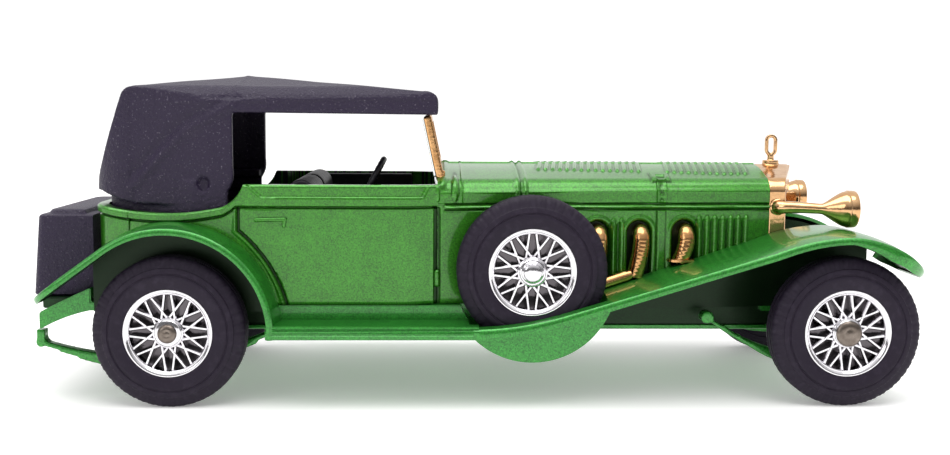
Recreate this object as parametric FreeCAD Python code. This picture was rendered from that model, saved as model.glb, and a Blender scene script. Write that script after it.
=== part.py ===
"""A 1:45 diecast collector car: a long-bonneted 1920s tourer with its hood up.

Frame: +X is forward, +Y is the car's left side, +Z is up, in millimetres. The origin lies on the ground,
in the middle of the overall length and width. Right-hand pieces have negative Y.
"""

import FreeCAD
import Part

import math
import os

from FreeCAD import Vector

# ---- running gear -------------------------------------------------------------------------------------
wheelbase = 75.6
track = 31.6
tyre_diameter = 16.9
tyre_width = 4.2
rim_diameter = 9.5
rim_flange = 0.2
hub_diameter = 3.4
spoke_pairs = 12
spoke_width = 0.28
spoke_depth = 1.1  # how far the spokes stand out from the web
web_thickness = 0.5  # the plate that closes a wheel behind its spokes
axle_diameter = 1.5
front_head_diameter = 2.9
rear_head_diameter = 2.1

# ---- lengths along the car, from the axles ------------------------------------------------------------
front_overhang = 9.6
rear_overhang = 17.0
tub_behind_axle = 9.4
door_front_behind_axle = 46.0
bonnet_behind_axle = 36.4
radiator_behind_axle = 6.6
spare_behind_axle = 35.4

# ---- half widths --------------------------------------------------------------------------------------
body_half_width = 14.5
tail_half_width = 11.2
cowl_half_width = 13.4
bonnet_rear_half_width = 11.9
bonnet_front_half_width = 7.9
hood_half_width = 13.4
hood_hole_radius = 0.75
hood_hole_depth = 0.6  # a blind hole in each side panel of the hood
rail_half_width = 8.0
trunk_half_width = 10.8
trunk_rake = 0.8
wing_lip = 1.1  # the wings reach this far past the tyres
outer_strip = 1.7  # wing left outside the spare tyre
wing_tail_gap = 1.7  # the wings' tails stop this far short of the trunk's foot

# ---- heights, from the axle or from the deck that the body stands on ----------------------------------
deck_above_axle = 2.6
board_above_axle = 0.95
spare_above_axle = 6.75
rear_wing_clearance = 2.7
front_wing_clearance = 1.9
rim_above_deck = 10.3
belt_above_deck = 13.6
hinge_above_deck = 10.95
shoulder_above_deck = 12.65
bonnet_above_deck = 15.45
roof_above_deck = 25.95
roof_edge_above_deck = 21.6
trunk_height = 10.0

# ---- walls and fits -----------------------------------------------------------------------------------
casting_wall = 1.0
wing_thickness = 0.9
board_thickness = 1.5
base_wall = 0.6
plastic_wall = 0.8
slip = 0.05  # between pieces that pass or turn in one another
seat_gap = 0.12  # between a moulding and the casting that holds it
tyre_gap = 0.25  # between a spare tyre and its well
bead = 0.3  # the raised bead round the tub

# ---- small pieces -------------------------------------------------------------------------------------
lamp_diameter = 4.4
lamp_spread = 10.0
pipe_diameter = 1.9
collector_diameter = 1.4
steering_wheel_diameter = 8.0
post_radius = 1.3
rivet_head_radius = 1.8
radiator_depth = 1.9
radiator_point = 2.4
lamp_spigot_radius = 0.45
pipe_peg_radius = 0.6
pipe_stand = 0.85  # the pipes stand this far out from the bonnet's side
pipe_bend = 1.2
spare_peg_radius = 1.2
spare_peg_depth = 1.8
screen_peg_radius = 0.35
screen_post_y = 11.0
screen_rake = 12.0
column_rake = 28.0
steering_y = -5.5

# ---- stations and levels worked out from them ---------------------------------------------------------
overall_length = front_overhang + wheelbase + rear_overhang
x_rear = rear_overhang - overall_length / 2
x_front = x_rear + wheelbase
x_tub_rear = x_rear - tub_behind_axle
x_cowl = x_front - door_front_behind_axle
x_bonnet = x_front - bonnet_behind_axle
x_radiator = x_front - radiator_behind_axle
x_spare = x_front - spare_behind_axle
x_door_rear = x_rear + 7.9

axle_height = tyre_diameter / 2
tyre_radius = tyre_diameter / 2
axle_radius = axle_diameter / 2
rim_radius = rim_diameter / 2
deck = axle_height + deck_above_axle
board = axle_height + board_above_axle
belt = deck + belt_above_deck
tub_rim = deck + rim_above_deck
shoulder_height = deck + shoulder_above_deck
bonnet_height = deck + bonnet_above_deck
roof = deck + roof_above_deck
roof_edge = deck + roof_edge_above_deck
spare_height = axle_height + spare_above_axle
base_top = axle_height - axle_radius - slip
base_bottom = base_top - base_wall

wheel_face = (track + tyre_width) / 2
tyre_inner = wheel_face - tyre_width
half_width = wheel_face + wing_lip
spare_face = half_width - outer_strip
spare_inner = spare_face - tyre_width

rear_wing_radius = tyre_radius + rear_wing_clearance + wing_thickness
front_crest = axle_height + tyre_radius + front_wing_clearance + wing_thickness

well_gap = 0.15
well_wall = 0.6
well_radius = tyre_radius + tyre_gap + well_wall
well_inner = spare_inner - well_gap - well_wall
well_outer = spare_face + well_gap + well_wall
well_drop = 0.7  # the wells hang this far below the middle of their tyres
x_foot = x_rear + 11.2
x_board_end = x_front - 42.0
x_ramp = x_front - 32.5
x_crest_start = x_front - 8.4
x_well_start = x_spare - well_radius

trunk_bottom = deck + 0.4
trunk_top = trunk_bottom + trunk_height
x_trunk_front = x_tub_rear - bead - seat_gap
x_trunk_rear = x_rear - rear_overhang

x_horn_end = x_tub_rear - 6.3
x_quarter = x_rear + 6.6  # the front edge of the hood's side panel
x_hood_front = x_cowl + 0.1
hood_skirt = casting_wall + seat_gap

post_stations = (x_tub_rear + 3.0, x_radiator - 4.0)
x_strap = x_front - 19.8
pipe_stations = (x_front - 27.4, x_front - 22.4, x_front - 17.0)
pipe_height = deck + 8.2
lamp_height = deck + 10.7
lamp_x_stay = x_radiator + 1.0
x_screen = x_cowl + 0.8
screen_top = roof_edge - 0.15
x_dash = x_cowl + 1.0
steering_x = x_cowl - 8.1
steering_z = belt - 0.75


# ---- drawing helpers ----------------------------------------------------------------------------------
class Outline:
    """An outline of straight runs and arcs in the xz, xy or yz plane, closed and extruded to a solid."""

    normals = {"xz": Vector(0, 1, 0), "xy": Vector(0, 0, 1), "yz": Vector(1, 0, 0)}

    def __init__(self, plane, *start):
        self.plane = plane
        self.start = start
        self.last = start
        self.runs = []

    def at(self, point, level):
        a, b = point
        if self.plane == "xz":
            return Vector(a, level, b)
        if self.plane == "xy":
            return Vector(a, b, level)
        return Vector(level, a, b)

    def line(self, *points):
        for point in points:
            self.runs.append((self.last, None, point))
            self.last = point
        return self

    def arc(self, middle, end):
        self.runs.append((self.last, middle, end))
        self.last = end
        return self

    def back_along(self, other):
        """Continues backwards along another open outline."""
        self.line(other.last)
        for start, middle, _ in reversed(other.runs):
            if middle is None:
                self.line(start)
            else:
                self.arc(middle, start)
        return self

    def wire(self, level):
        runs = list(self.runs)
        if math.dist(self.last, self.start) > 1e-6:
            runs.append((self.last, None, self.start))
        edges = []
        for start, middle, end in runs:
            first = self.at(start, level)
            last = self.at(end, level)
            if middle is None:
                edges.append(Part.LineSegment(first, last).toShape())
            else:
                edges.append(Part.Arc(first, self.at(middle, level), last).toShape())
        return Part.Wire(edges)

    def solid(self, low, high):
        return Part.Face(self.wire(low)).extrude(self.normals[self.plane] * (high - low))


def box(x0, x1, y0, y1, z0, z1):
    return Part.makeBox(x1 - x0, y1 - y0, z1 - z0, Vector(x0, y0, z0))


def wide_box(x0, x1, half, z0, z1):
    return box(x0, x1, -half, half, z0, z1)


def rod(radius, start, end):
    """A round bar between two points."""
    run = Vector(*end) - Vector(*start)
    return Part.makeCylinder(radius, run.Length, Vector(*start), run)


def turned(profile, x, z):
    """A solid turned about the cross-car axis at x, z, from (y, radius) points."""
    face = Part.Face(Outline("yz", *profile[0]).line(*profile[1:]).wire(0))
    return face.revolve(Vector(0, 0, 0), Vector(0, 1, 0), 360).translated(Vector(x, 0, z))


def mirrored(shape):
    return shape.mirror(Vector(0, 0, 0), Vector(0, 1, 0))


def both_sides(shapes):
    return shapes + [mirrored(shape) for shape in shapes]


def joined(shapes):
    return shapes[0].multiFuse(shapes[1:]).removeSplitter()


def without(shape, tools):
    return shape.cut(Part.makeCompound(tools))


def rounded(shape, radius, pick):
    edges = [edge for edge in shape.Edges if pick(edge)]
    return shape.makeFillet(radius, edges) if edges else shape


def runs_along(edge, axis):
    """True for a straight edge along the axis, 0 to 2."""
    if edge.Curve.TypeId != "Part::GeomLine":
        return False
    run = edge.Vertexes[-1].Point - edge.Vertexes[0].Point
    return abs(abs(run[axis]) - run.Length) < 1e-6


def arc_about(x, z, radius, start, end):
    """The middle and the end of an arc about x, z between two angles in degrees from +X."""
    points = []
    for angle in ((start + end) / 2, end):
        turn = math.radians(angle)
        points.append((x + radius * math.cos(turn), z + radius * math.sin(turn)))
    return points


# ---- tyres, wheels and axles --------------------------------------------------------------------------
def tyre(x, z, face, side):
    """A rubber tyre with stepped shoulders and two grooves round its tread."""
    inner = face - tyre_width
    middle = (face + inner) / 2
    r = tyre_radius
    groove = 0.35
    depth = 0.3
    profile = [(inner + 0.5, rim_radius), (inner + 0.15, rim_radius + 0.5), (inner, r - 2.2),
               (inner + 0.2, r - 1.3), (inner + 0.35, r - 1.25), (inner + 0.75, r - 0.25), (inner + 1.05, r)]
    for centre in (middle - 0.5, middle + 0.5):
        profile += [(centre - groove / 2, r), (centre - groove / 2, r - depth),
                    (centre + groove / 2, r - depth), (centre + groove / 2, r)]
    profile += [(face - 1.05, r), (face - 0.75, r - 0.25), (face - 0.35, r - 1.25), (face - 0.2, r - 1.3),
                (face, r - 2.2), (face - 0.15, rim_radius + 0.5), (face - 0.5, rim_radius)]
    return turned([(side * y, radius) for y, radius in profile], x, z)


def spoke(angle, lean, inner_radius, outer_radius, low, high):
    """One straight spoke that leaves the rim beside angle and meets the hub 31 degrees round from it."""
    rim_turn = math.radians(angle + 5.0 * lean)
    hub_turn = math.radians(angle + 31.0 * lean)
    start = Vector(outer_radius * math.cos(rim_turn), low, outer_radius * math.sin(rim_turn))
    end = Vector(inner_radius * math.cos(hub_turn), low, inner_radius * math.sin(hub_turn))
    run = end - start
    bar = box(0, run.Length, 0, high - low, -spoke_width / 2, spoke_width / 2)
    bar.rotate(Vector(0, 0, 0), Vector(0, 1, 0), -math.degrees(math.atan2(run.z, run.x)))
    return bar.translated(start)


def wheel(x, z, face, side, hub_end):
    """A plated wheel: a flanged rim, crossing spokes in relief on a web, and a hub back to hub_end."""
    inner = face - tyre_width + 0.5
    barrel_wall = 0.55
    flange_radius = rim_radius + rim_flange
    barrel = [(inner, rim_radius), (inner, rim_radius - barrel_wall), (face - 0.6, rim_radius - barrel_wall),
              (face - 0.1, rim_radius - barrel_wall + 0.15), (face - 0.1, flange_radius),
              (face - 0.35, flange_radius), (face - 0.5, rim_radius)]
    hub_radius = hub_diameter / 2
    hub = [(hub_end, 0), (hub_end, hub_radius - 0.15), (face - 1.3, hub_radius - 0.15),
           (face - 1.0, hub_radius), (face, hub_radius), (face, 0)]
    spoke_front = face - 0.6
    spoke_back = spoke_front - spoke_depth
    web_radius = rim_radius - 0.4
    web = [(spoke_back - web_thickness, 0), (spoke_back - web_thickness, web_radius),
           (spoke_back + 0.1, web_radius), (spoke_back + 0.1, 0)]
    low, high = sorted((side * spoke_back, side * spoke_front))
    pieces = [turned([(side * y, radius) for y, radius in hub], 0, 0),
              turned([(side * y, radius) for y, radius in web], 0, 0)]
    for number in range(spoke_pairs):
        angle = 90 + 360 / spoke_pairs * number
        for lean in (-1, 1):
            pieces.append(spoke(angle, lean, hub_radius - 0.2, web_radius, low, high))
    rim = turned([(side * y, radius) for y, radius in barrel], 0, 0)
    return rim.multiFuse(pieces).removeSplitter().translated(Vector(x, 0, z))


def road_wheel(x, side):
    """A wheel bored to turn on its axle, inboard of the axle's head."""
    hub_end = tyre_inner - 0.3
    bore = rod(axle_radius + slip, (x, side * (hub_end - 1), axle_height),
               (x, side * (wheel_face + 1), axle_height))
    return wheel(x, axle_height, wheel_face, side, hub_end).cut(bore)


def axle(x, head_diameter):
    """A steel axle with a spun head outside each wheel."""
    reach = wheel_face + slip
    height = 0.45
    radius = head_diameter / 2
    pieces = [rod(axle_radius, (x, -reach, axle_height), (x, reach, axle_height))]
    for side in (-1, 1):
        profile = [(reach, 0), (reach, radius), (reach + 0.4 * height, radius),
                   (reach + 0.85 * height, 0.7 * radius), (reach + height, 0.3 * radius),
                   (reach + height, 0)]
        pieces.append(turned([(side * y, r) for y, r in profile], x, axle_height))
    return joined(pieces)


# ---- bonnet and tub outlines, shared by what fits them ------------------------------------------------
def bonnet_half_width(x):
    share = (x - x_bonnet) / (x_radiator - x_bonnet)
    return bonnet_rear_half_width + share * (bonnet_front_half_width - bonnet_rear_half_width)


spare_hub_end = bonnet_half_width(x_spare) + 0.35


def bonnet_section(x, half, inset, low):
    """The bonnet or scuttle in section: upright sides, round shoulders and a low ridge."""
    w = half - inset
    top = bonnet_height - inset
    shoulder = shoulder_height - inset
    bend = 1.6
    rise = 0.55 * (top - shoulder)
    section = Outline("yz", -w, low).line((-w, shoulder))
    section.arc((-w + 0.32 * bend, shoulder + 0.62 * rise), (-w + bend, shoulder + rise))
    section.line((-0.5, top), (0.5, top), (w - bend, shoulder + rise))
    section.arc((w - 0.32 * bend, shoulder + 0.62 * rise), (w, shoulder))
    section.line((w, low))
    return section.wire(x)


def bonnet_block(inset, low, front):
    """The scuttle and bonnet as one closed block from the cowl to front."""
    scuttle = Part.makeLoft([bonnet_section(x_cowl, cowl_half_width, inset, low),
                             bonnet_section(x_bonnet, bonnet_rear_half_width, inset, low)], True, True)
    bonnet = Part.makeLoft([bonnet_section(x_bonnet, bonnet_rear_half_width, inset, low),
                            bonnet_section(front, bonnet_half_width(front), inset, low)], True, True)
    return scuttle.fuse(bonnet)


def tub_plan(inset):
    """The passenger tub in plan: a scuttle that narrows forward and a round-cornered tail."""
    w = body_half_width - inset
    rear = x_tub_rear + inset
    tail = tail_half_width - inset
    corner = 2.4
    front = cowl_half_width - inset
    plan = Outline("xy", x_cowl, -front)
    plan.line((x_cowl - 3.0, -w), (x_rear + 2.0, -w), (rear + corner, -tail - 0.5))
    plan.arc((rear + 0.3 * corner, -tail + 0.35), (rear, -tail + corner))
    plan.line((rear, tail - corner))
    plan.arc((rear + 0.3 * corner, tail - 0.35), (rear + corner, tail + 0.5))
    plan.line((x_rear + 2.0, w), (x_cowl - 3.0, w), (x_cowl, front))
    return plan


def rim_line(lift):
    """The tub's top edge in side view: a shallow dip round the rear seat, then up to the door."""
    rim = tub_rim + lift
    line = Outline("xz", x_tub_rear - 1.0, rim + 1.05)
    line.arc((x_rear - 0.6, rim), (x_door_rear - 2.4, rim + 0.75))
    line.arc((x_door_rear - 0.9, rim + 1.75), (x_door_rear, belt + lift))
    return line


# ---- wings and chassis --------------------------------------------------------------------------------
def front_wing_line(lift):
    """The top of the front wing in side view, from the running board to its tip."""
    crest_x = x_front - 0.2
    crest = front_crest + lift
    tip_x = x_front + front_overhang
    line = Outline("xz", x_board_end, board + lift)
    line.arc(((x_board_end + x_ramp) / 2, board + 0.35 + lift), (x_ramp, board + 1.35 + lift))
    line.line((x_crest_start, crest - 1.7))
    line.arc(((x_crest_start + crest_x) / 2 + 0.2, crest - 0.42), (crest_x, crest))
    line.arc((crest_x + 5.3, crest - 1.3), (tip_x, crest - 4.6))
    return line


def rear_wing_line(lift):
    """The top of the rear wing in side view, from its foot over the wheel to its tail."""
    radius = rear_wing_radius + lift
    tail = 126
    line = Outline("xz", x_rear + radius, board - board_thickness)
    line.line((x_rear + radius, axle_height))
    line.arc(*arc_about(x_rear, axle_height, radius, 0, tail))
    slope = math.radians(tail - 90)
    run = rear_overhang - wing_tail_gap - radius * math.sin(slope)
    line.line((line.last[0] - run, line.last[1] - run * math.tan(slope)))
    return line


def wing_plan():
    """Both wings and the running board in plan, on the right, with rounded ends."""
    tip = x_front + front_overhang
    tail = x_rear - rear_overhang + wing_tail_gap
    plan = Outline("xy", tail, -well_inner)
    plan.line((tail, -half_width + 3.5))
    plan.arc((tail + 1.0, -half_width + 1.0), (tail + 3.4, -half_width))
    plan.line((tip - 4.5, -half_width))
    plan.arc((tip - 1.3, -half_width + 1.2), (tip, -half_width + 4.5))
    plan.line((tip, -bonnet_front_half_width - 2.0))
    plan.arc((tip - 0.7, -bonnet_front_half_width - 0.6), (tip - 2.2, -bonnet_front_half_width - seat_gap))
    plan.line((x_radiator, -bonnet_front_half_width - seat_gap))
    plan.line((x_bonnet, -bonnet_rear_half_width - seat_gap), (x_bonnet, -well_inner))
    return plan


def chassis_wings():
    """The lower casting: deck, rails, wings, running boards, wheel wells and the rear luggage shelf."""
    arch = rear_wing_radius - wing_thickness
    front_band = front_wing_line(0).back_along(front_wing_line(-wing_thickness))
    rear_band = rear_wing_line(0).back_along(rear_wing_line(-wing_thickness))
    bands = front_band.solid(-half_width, 0)
    bands = bands.fuse(rear_band.solid(-half_width, 0))
    bands = bands.fuse(box(x_foot, x_board_end + 0.5, -half_width, 0, board - board_thickness, board))
    plan = wing_plan().solid(base_bottom - 5, roof)
    wings = bands.common(plan)

    # the wheel well: a round pocket below the wing that the spare tyre stands in
    well_height = spare_height - well_drop
    pocket = rod(well_radius, (x_spare, -well_outer, well_height), (x_spare, -well_inner, well_height))
    above = front_wing_line(-wing_thickness / 2)
    above.line((above.last[0], roof), (x_board_end, roof))
    pocket = pocket.cut(above.solid(-half_width - 1, 0))
    pocket = pocket.cut(box(x_spare - 20, x_board_end, -half_width, 0, board - 0.5, roof))
    hollow_start = -spare_face - well_gap
    hollow_end = -spare_inner + well_gap
    hollow = rod(well_radius - well_wall, (x_spare, hollow_start, well_height),
                 (x_spare, hollow_end, well_height))
    tyre_way = rod(tyre_radius + tyre_gap, (x_spare, hollow_start, spare_height),
                   (x_spare, hollow_end, spare_height))

    # inner walls: beside the rear wheel, beside the bonnet, and the sill under the door
    crown = arch + wing_thickness / 2
    rear_start = math.degrees(math.asin((deck - casting_wall - axle_height) / crown))
    rear_outline = Outline("xz", *arc_about(x_rear, axle_height, crown, 0, rear_start)[1])
    rear_outline.arc(*arc_about(x_rear, axle_height, crown, rear_start, 126))
    rear_outline.line((x_tub_rear - 3.4, trunk_bottom + 1.2), (x_tub_rear - 3.4, deck - casting_wall))
    rear_side = rear_outline.solid(-well_inner - well_wall, -well_inner)
    front_outline = front_wing_line(-wing_thickness / 2)
    front_outline.line((front_outline.last[0] - 2.0, front_crest - 7.5),
                       (x_radiator + 3, board - board_thickness), (x_board_end, board - board_thickness))
    front_side = front_outline.solid(-half_width, 0)
    gap = seat_gap
    strip = Outline("xy", x_bonnet, -bonnet_rear_half_width - gap)
    strip.line((x_radiator, -bonnet_front_half_width - gap), (x_front + 5, -bonnet_front_half_width - gap))
    strip.line((x_front + 5, -bonnet_front_half_width - gap - 0.8))
    strip.line((x_radiator, -bonnet_front_half_width - gap - 0.8))
    strip.line((x_bonnet, -bonnet_rear_half_width - gap - 0.8))
    front_side = front_side.common(strip.solid(deck - casting_wall, roof))
    sill = box(x_foot, x_well_start + 2.5, -body_half_width + 0.1, -well_inner + 0.5,
               board - board_thickness, deck)

    # the frame horn that carries the shelf and the rear shackle
    horn = Outline("xz", x_tub_rear + 4, deck)
    horn.line((x_tub_rear - 0.45, deck), (x_tub_rear - 0.45, deck + 1.6))
    horn.arc((x_tub_rear - 3.1, deck + 0.4), (x_horn_end, deck - 1.2))
    horn.line((x_horn_end, deck - 3.2))
    horn.arc((x_tub_rear - 3.1, deck - 1.7), (x_tub_rear - 0.6, deck - casting_wall))
    horn.line((x_tub_rear + 4, deck - casting_wall))
    horn_piece = horn.solid(-well_inner, -trunk_half_width - seat_gap)

    # the dumb iron in front
    iron = Outline("xz", x_radiator - 1.0, deck)
    iron.line((x_radiator + 4.0, deck))
    iron.arc((x_front + 1.6, deck - 0.7), (x_front + 5.6, axle_height - 0.3))
    iron.line((x_front + 4.4, axle_height - 1.1))
    iron.arc((x_front + 0.8, deck - 2.2), (x_radiator + 3.0, deck - 1.6))
    iron.line((x_radiator - 1.0, deck - 1.6))
    iron_piece = iron.solid(-bonnet_front_half_width - gap - 0.8, -bonnet_front_half_width + 0.6)

    rail = box(x_tub_rear + 1.0, x_front + 2.4, -rail_half_width, -rail_half_width + 1.6, base_top, deck)
    shelf = box(x_trunk_rear + 1.6, x_tub_rear - 0.45, -well_inner + 0.5, 0, deck - 0.8, trunk_bottom)
    shelf = shelf.fuse(box(x_tub_rear - 1, x_tub_rear + 1, -well_inner + 0.5, 0, deck - 0.8, deck))
    deck_plan = Outline("xy", x_tub_rear, 0).line((x_tub_rear, -well_inner - 0.2))
    deck_plan.line((x_bonnet, -well_inner - 0.2), (x_radiator, -bonnet_front_half_width - gap - 0.4))
    deck_plan.line((x_front + 2.4, -bonnet_front_half_width - gap - 0.4), (x_front + 2.4, 0))
    floor = deck_plan.solid(deck - casting_wall, deck)

    halves = both_sides([wings, pocket, rear_side, front_side, sill, horn_piece, iron_piece, rail,
                         shelf, floor])
    casting = joined(halves)
    cuts = both_sides([hollow, tyre_way])
    for x in (x_rear, x_front):
        slot = box(x - axle_radius - slip, x + axle_radius + slip, -rail_half_width - 5,
                   rail_half_width + 5, base_top - 3, axle_height)
        bearing = rod(axle_radius + slip, (x, -rail_half_width - 5, axle_height),
                      (x, rail_half_width + 5, axle_height))
        cuts += [slot, bearing]
    for x in post_stations:
        cuts.append(rod(post_radius + slip, (x, 0, deck - 4), (x, 0, deck + 1)))
    return without(casting, cuts)


def leaf_spring(x_start, z_start, x_end, z_end, x_middle, z_middle):
    """Three leaves, each shorter than the one above, in the xz plane at their half length."""
    leaves = []
    leaf = 0.55
    for number in range(3):
        drop = number * leaf
        inset = number * 0.14
        first = (x_start + inset * (x_middle - x_start), z_start + inset * (z_middle - z_start) - drop)
        last = (x_end + inset * (x_middle - x_end), z_end + inset * (z_middle - z_end) - drop)
        middle = (x_middle, z_middle - drop)
        line = Outline("xz", *first).arc(middle, last)
        under = Outline("xz", first[0], first[1] - leaf)
        under.arc((middle[0], middle[1] - leaf), (last[0], last[1] - leaf))
        leaves.append(line.back_along(under).solid(-well_inner + 0.3, -well_inner + 1.9))
    return leaves


def base_plate():
    """The base casting: sump, flat underside, axle keepers, springs and shackles."""
    half = rail_half_width
    start = x_tub_rear + 0.6
    end = x_front + 3.4
    plate = wide_box(start, end, half, base_bottom, base_top)
    sump = wide_box(x_spare + 8.6, x_radiator - 8.0, half - 1.6 - slip, base_top, base_top + 1.2)
    pieces = [plate, sump]
    for x in post_stations:
        pieces.append(rod(post_radius + 1.6, (x, 0, base_top), (x, 0, deck - casting_wall - slip)))
    side_pieces = []
    for x in (x_rear, x_front):
        side_pieces.append(box(x - 1.5, x + 1.5, -well_inner + 0.3, -half + 0.5, axle_height - 3.6, base_top))
    rear_eye = (x_horn_end, axle_height - 1.9)
    side_pieces += leaf_spring(rear_eye[0], rear_eye[1], x_rear + 10.4, axle_height - 0.8,
                               x_rear - 0.5, axle_height - 3.6)
    side_pieces += leaf_spring(x_front - 14.6, axle_height + 1.1, x_front + 6.0, axle_height - 2.2,
                               x_front - 0.5, axle_height - 3.6)
    side_pieces.append(rod(0.6, (rear_eye[0], -well_inner + 0.3, rear_eye[1] - 0.2),
                           (rear_eye[0], -well_inner + 1.9, rear_eye[1] - 0.2)))
    side_pieces.append(box(rear_eye[0] - 0.45, rear_eye[0] + 0.45, -well_inner + 0.3, -well_inner + 1.9,
                           rear_eye[1], deck - 3.2 - slip))
    side_pieces.append(rod(0.75, (x_front - 14.6, -well_inner + 0.1, axle_height + 0.8),
                           (x_front - 14.6, -well_inner + 1.9, axle_height + 0.8)))
    casting = joined(pieces + both_sides(side_pieces))
    cuts = []
    for x in post_stations:
        cuts.append(rod(post_radius + slip, (x, 0, base_bottom - 1), (x, 0, deck)))
        cuts.append(rod(rivet_head_radius + slip, (x, 0, base_bottom - 1), (x, 0, base_bottom + 0.5)))
    return without(casting, cuts)


# ---- body ---------------------------------------------------------------------------------------------
def top_louvres():
    """Low cross ribs in two rows beside the bonnet's ridge, parted by the strap."""
    pitch = 0.86
    count = int((x_radiator - x_bonnet - 3.9) / pitch)
    ribs = []
    slope = math.atan2(0.45 * (bonnet_height - shoulder_height), bonnet_front_half_width)
    for number in range(count):
        x = x_bonnet + 2.9 + pitch * number
        if abs(x - x_strap) < 1.4:
            continue
        rib = box(x, x + 0.42, 0.9, 3.4, -0.6, 0.2)
        rib.rotate(Vector(x, 0, 0), Vector(1, 0, 0), -math.degrees(slope))
        ribs.append(rib.translated(Vector(0, 0, bonnet_height)))
    return both_sides(ribs)


def side_ribs(start, count, high):
    """Upright louvres on the bonnet's side, down to the wing."""
    ribs = []
    for number in range(count):
        x = start + 0.96 * number
        half = bonnet_half_width(x)
        ribs.append(box(x, x + 0.5, -half - 0.22, -half + 0.5, wing_top(x) + 0.4, high))
    return ribs


def body_shell():
    """The upper casting: tub, doors, scuttle and bonnet, with the posts that hold the car together."""
    tub = tub_plan(0).solid(deck, belt)
    above = rim_line(0)
    above.line((x_door_rear, roof), (x_tub_rear - 1.0, roof))
    low_rim = rim_line(0).back_along(rim_line(-0.8))
    roll = tub_plan(-bead).solid(deck, belt).common(low_rim.solid(-half_width, half_width))
    tub = tub.cut(above.solid(-half_width, half_width))
    block = bonnet_block(0, deck, x_radiator)
    shell = tub.fuse(block).fuse(roll)
    inside_tub = tub_plan(casting_wall).solid(deck - 1, belt + 1)
    inside_bonnet = bonnet_block(casting_wall, deck - 1, x_radiator - casting_wall)
    cuts = [inside_tub, inside_bonnet]
    for side in (-1, 1):
        cuts.append(rod(rear_wing_radius + seat_gap, (x_rear, side * (well_inner - seat_gap), axle_height),
                        (x_rear, side * half_width, axle_height)))
        cuts.append(rod(spare_peg_radius + slip, (x_spare, side * (spare_hub_end - 3), spare_height),
                        (x_spare, side * (spare_hub_end + 1), spare_height)))
    shell = without(shell, cuts)

    details = top_louvres()
    hinge = deck + hinge_above_deck
    flank = []
    flank += side_ribs(x_front - 15.4, 7, hinge - 1.1)
    flank += side_ribs(x_front - 25.7, 2, hinge - 1.3)
    flank.append(box(x_door_rear + 1.0, x_door_rear + 4.8, -body_half_width - 0.45, -body_half_width + 0.3,
                     belt - 4.05, belt - 3.65))
    for low, high in ((belt - 1.3, belt - 0.2), (deck + 1.8, deck + 4.0)):
        flank.append(rod(0.35, (x_cowl, -cowl_half_width, low), (x_cowl, -cowl_half_width, high)))
    details += both_sides(flank)
    rear_post_x, front_post_x = post_stations
    rear_post = rod(post_radius, (rear_post_x, 0, base_bottom + 0.45), (rear_post_x, 0, tub_rim - 4))
    web = box(x_tub_rear + 0.5, rear_post_x, -0.8, 0.8, deck + seat_gap, tub_rim - 4)
    front_post = rod(post_radius, (front_post_x, 0, base_bottom + 0.45),
                     (front_post_x, 0, bonnet_height - casting_wall / 2))
    heads = [rod(rivet_head_radius, (x, 0, base_bottom + 0.1), (x, 0, base_bottom + 0.45))
             for x in post_stations]
    ridge = rod(0.3, (x_cowl + 1, 0, bonnet_height - 0.15), (x_radiator - 0.3, 0, bonnet_height - 0.15))
    shell = shell.multiFuse(details + [rear_post, web, front_post, ridge] + heads).removeSplitter()

    grooves = []
    for side in (-1, 1):
        y0, y1 = sorted((side * (body_half_width - 0.25), side * (body_half_width + 1)))
        rise = Outline("xz", x_door_rear - 0.4, belt - 2.2)
        rise.line((x_door_rear - 0.4, belt - 5.6), (x_foot + 0.2, deck), (x_foot + 0.5, deck))
        rise.line((x_door_rear - 0.1, belt - 5.6), (x_door_rear - 0.1, belt - 2.2))
        grooves.append(rise.solid(y0, y1))
    screen_pegs = [rod(screen_peg_radius + slip, (x_screen - 0.35, side * screen_post_y, belt - 2),
                       (x_screen - 0.35, side * screen_post_y, bonnet_height)) for side in (-1, 1)]
    pipe_holes = [rod(pipe_peg_radius + slip, (x, -bonnet_rear_half_width - 1, pipe_height - 0.3),
                      (x, -bonnet_front_half_width + 1.2, pipe_height - 0.3)) for x in pipe_stations]
    arches = []
    for x in pipe_stations:
        half = bonnet_half_width(x)
        arch = Outline("xz", x - 1.5, deck + 1.0).line((x - 1.5, pipe_height - 0.3))
        arch.arc((x, pipe_height + 1.2), (x + 1.5, pipe_height - 0.3)).line((x + 1.5, deck + 1.0))
        arches.append(arch.solid(-half - 1, -half + 0.45))
    return without(shell, grooves + screen_pegs + pipe_holes + arches)


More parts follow.
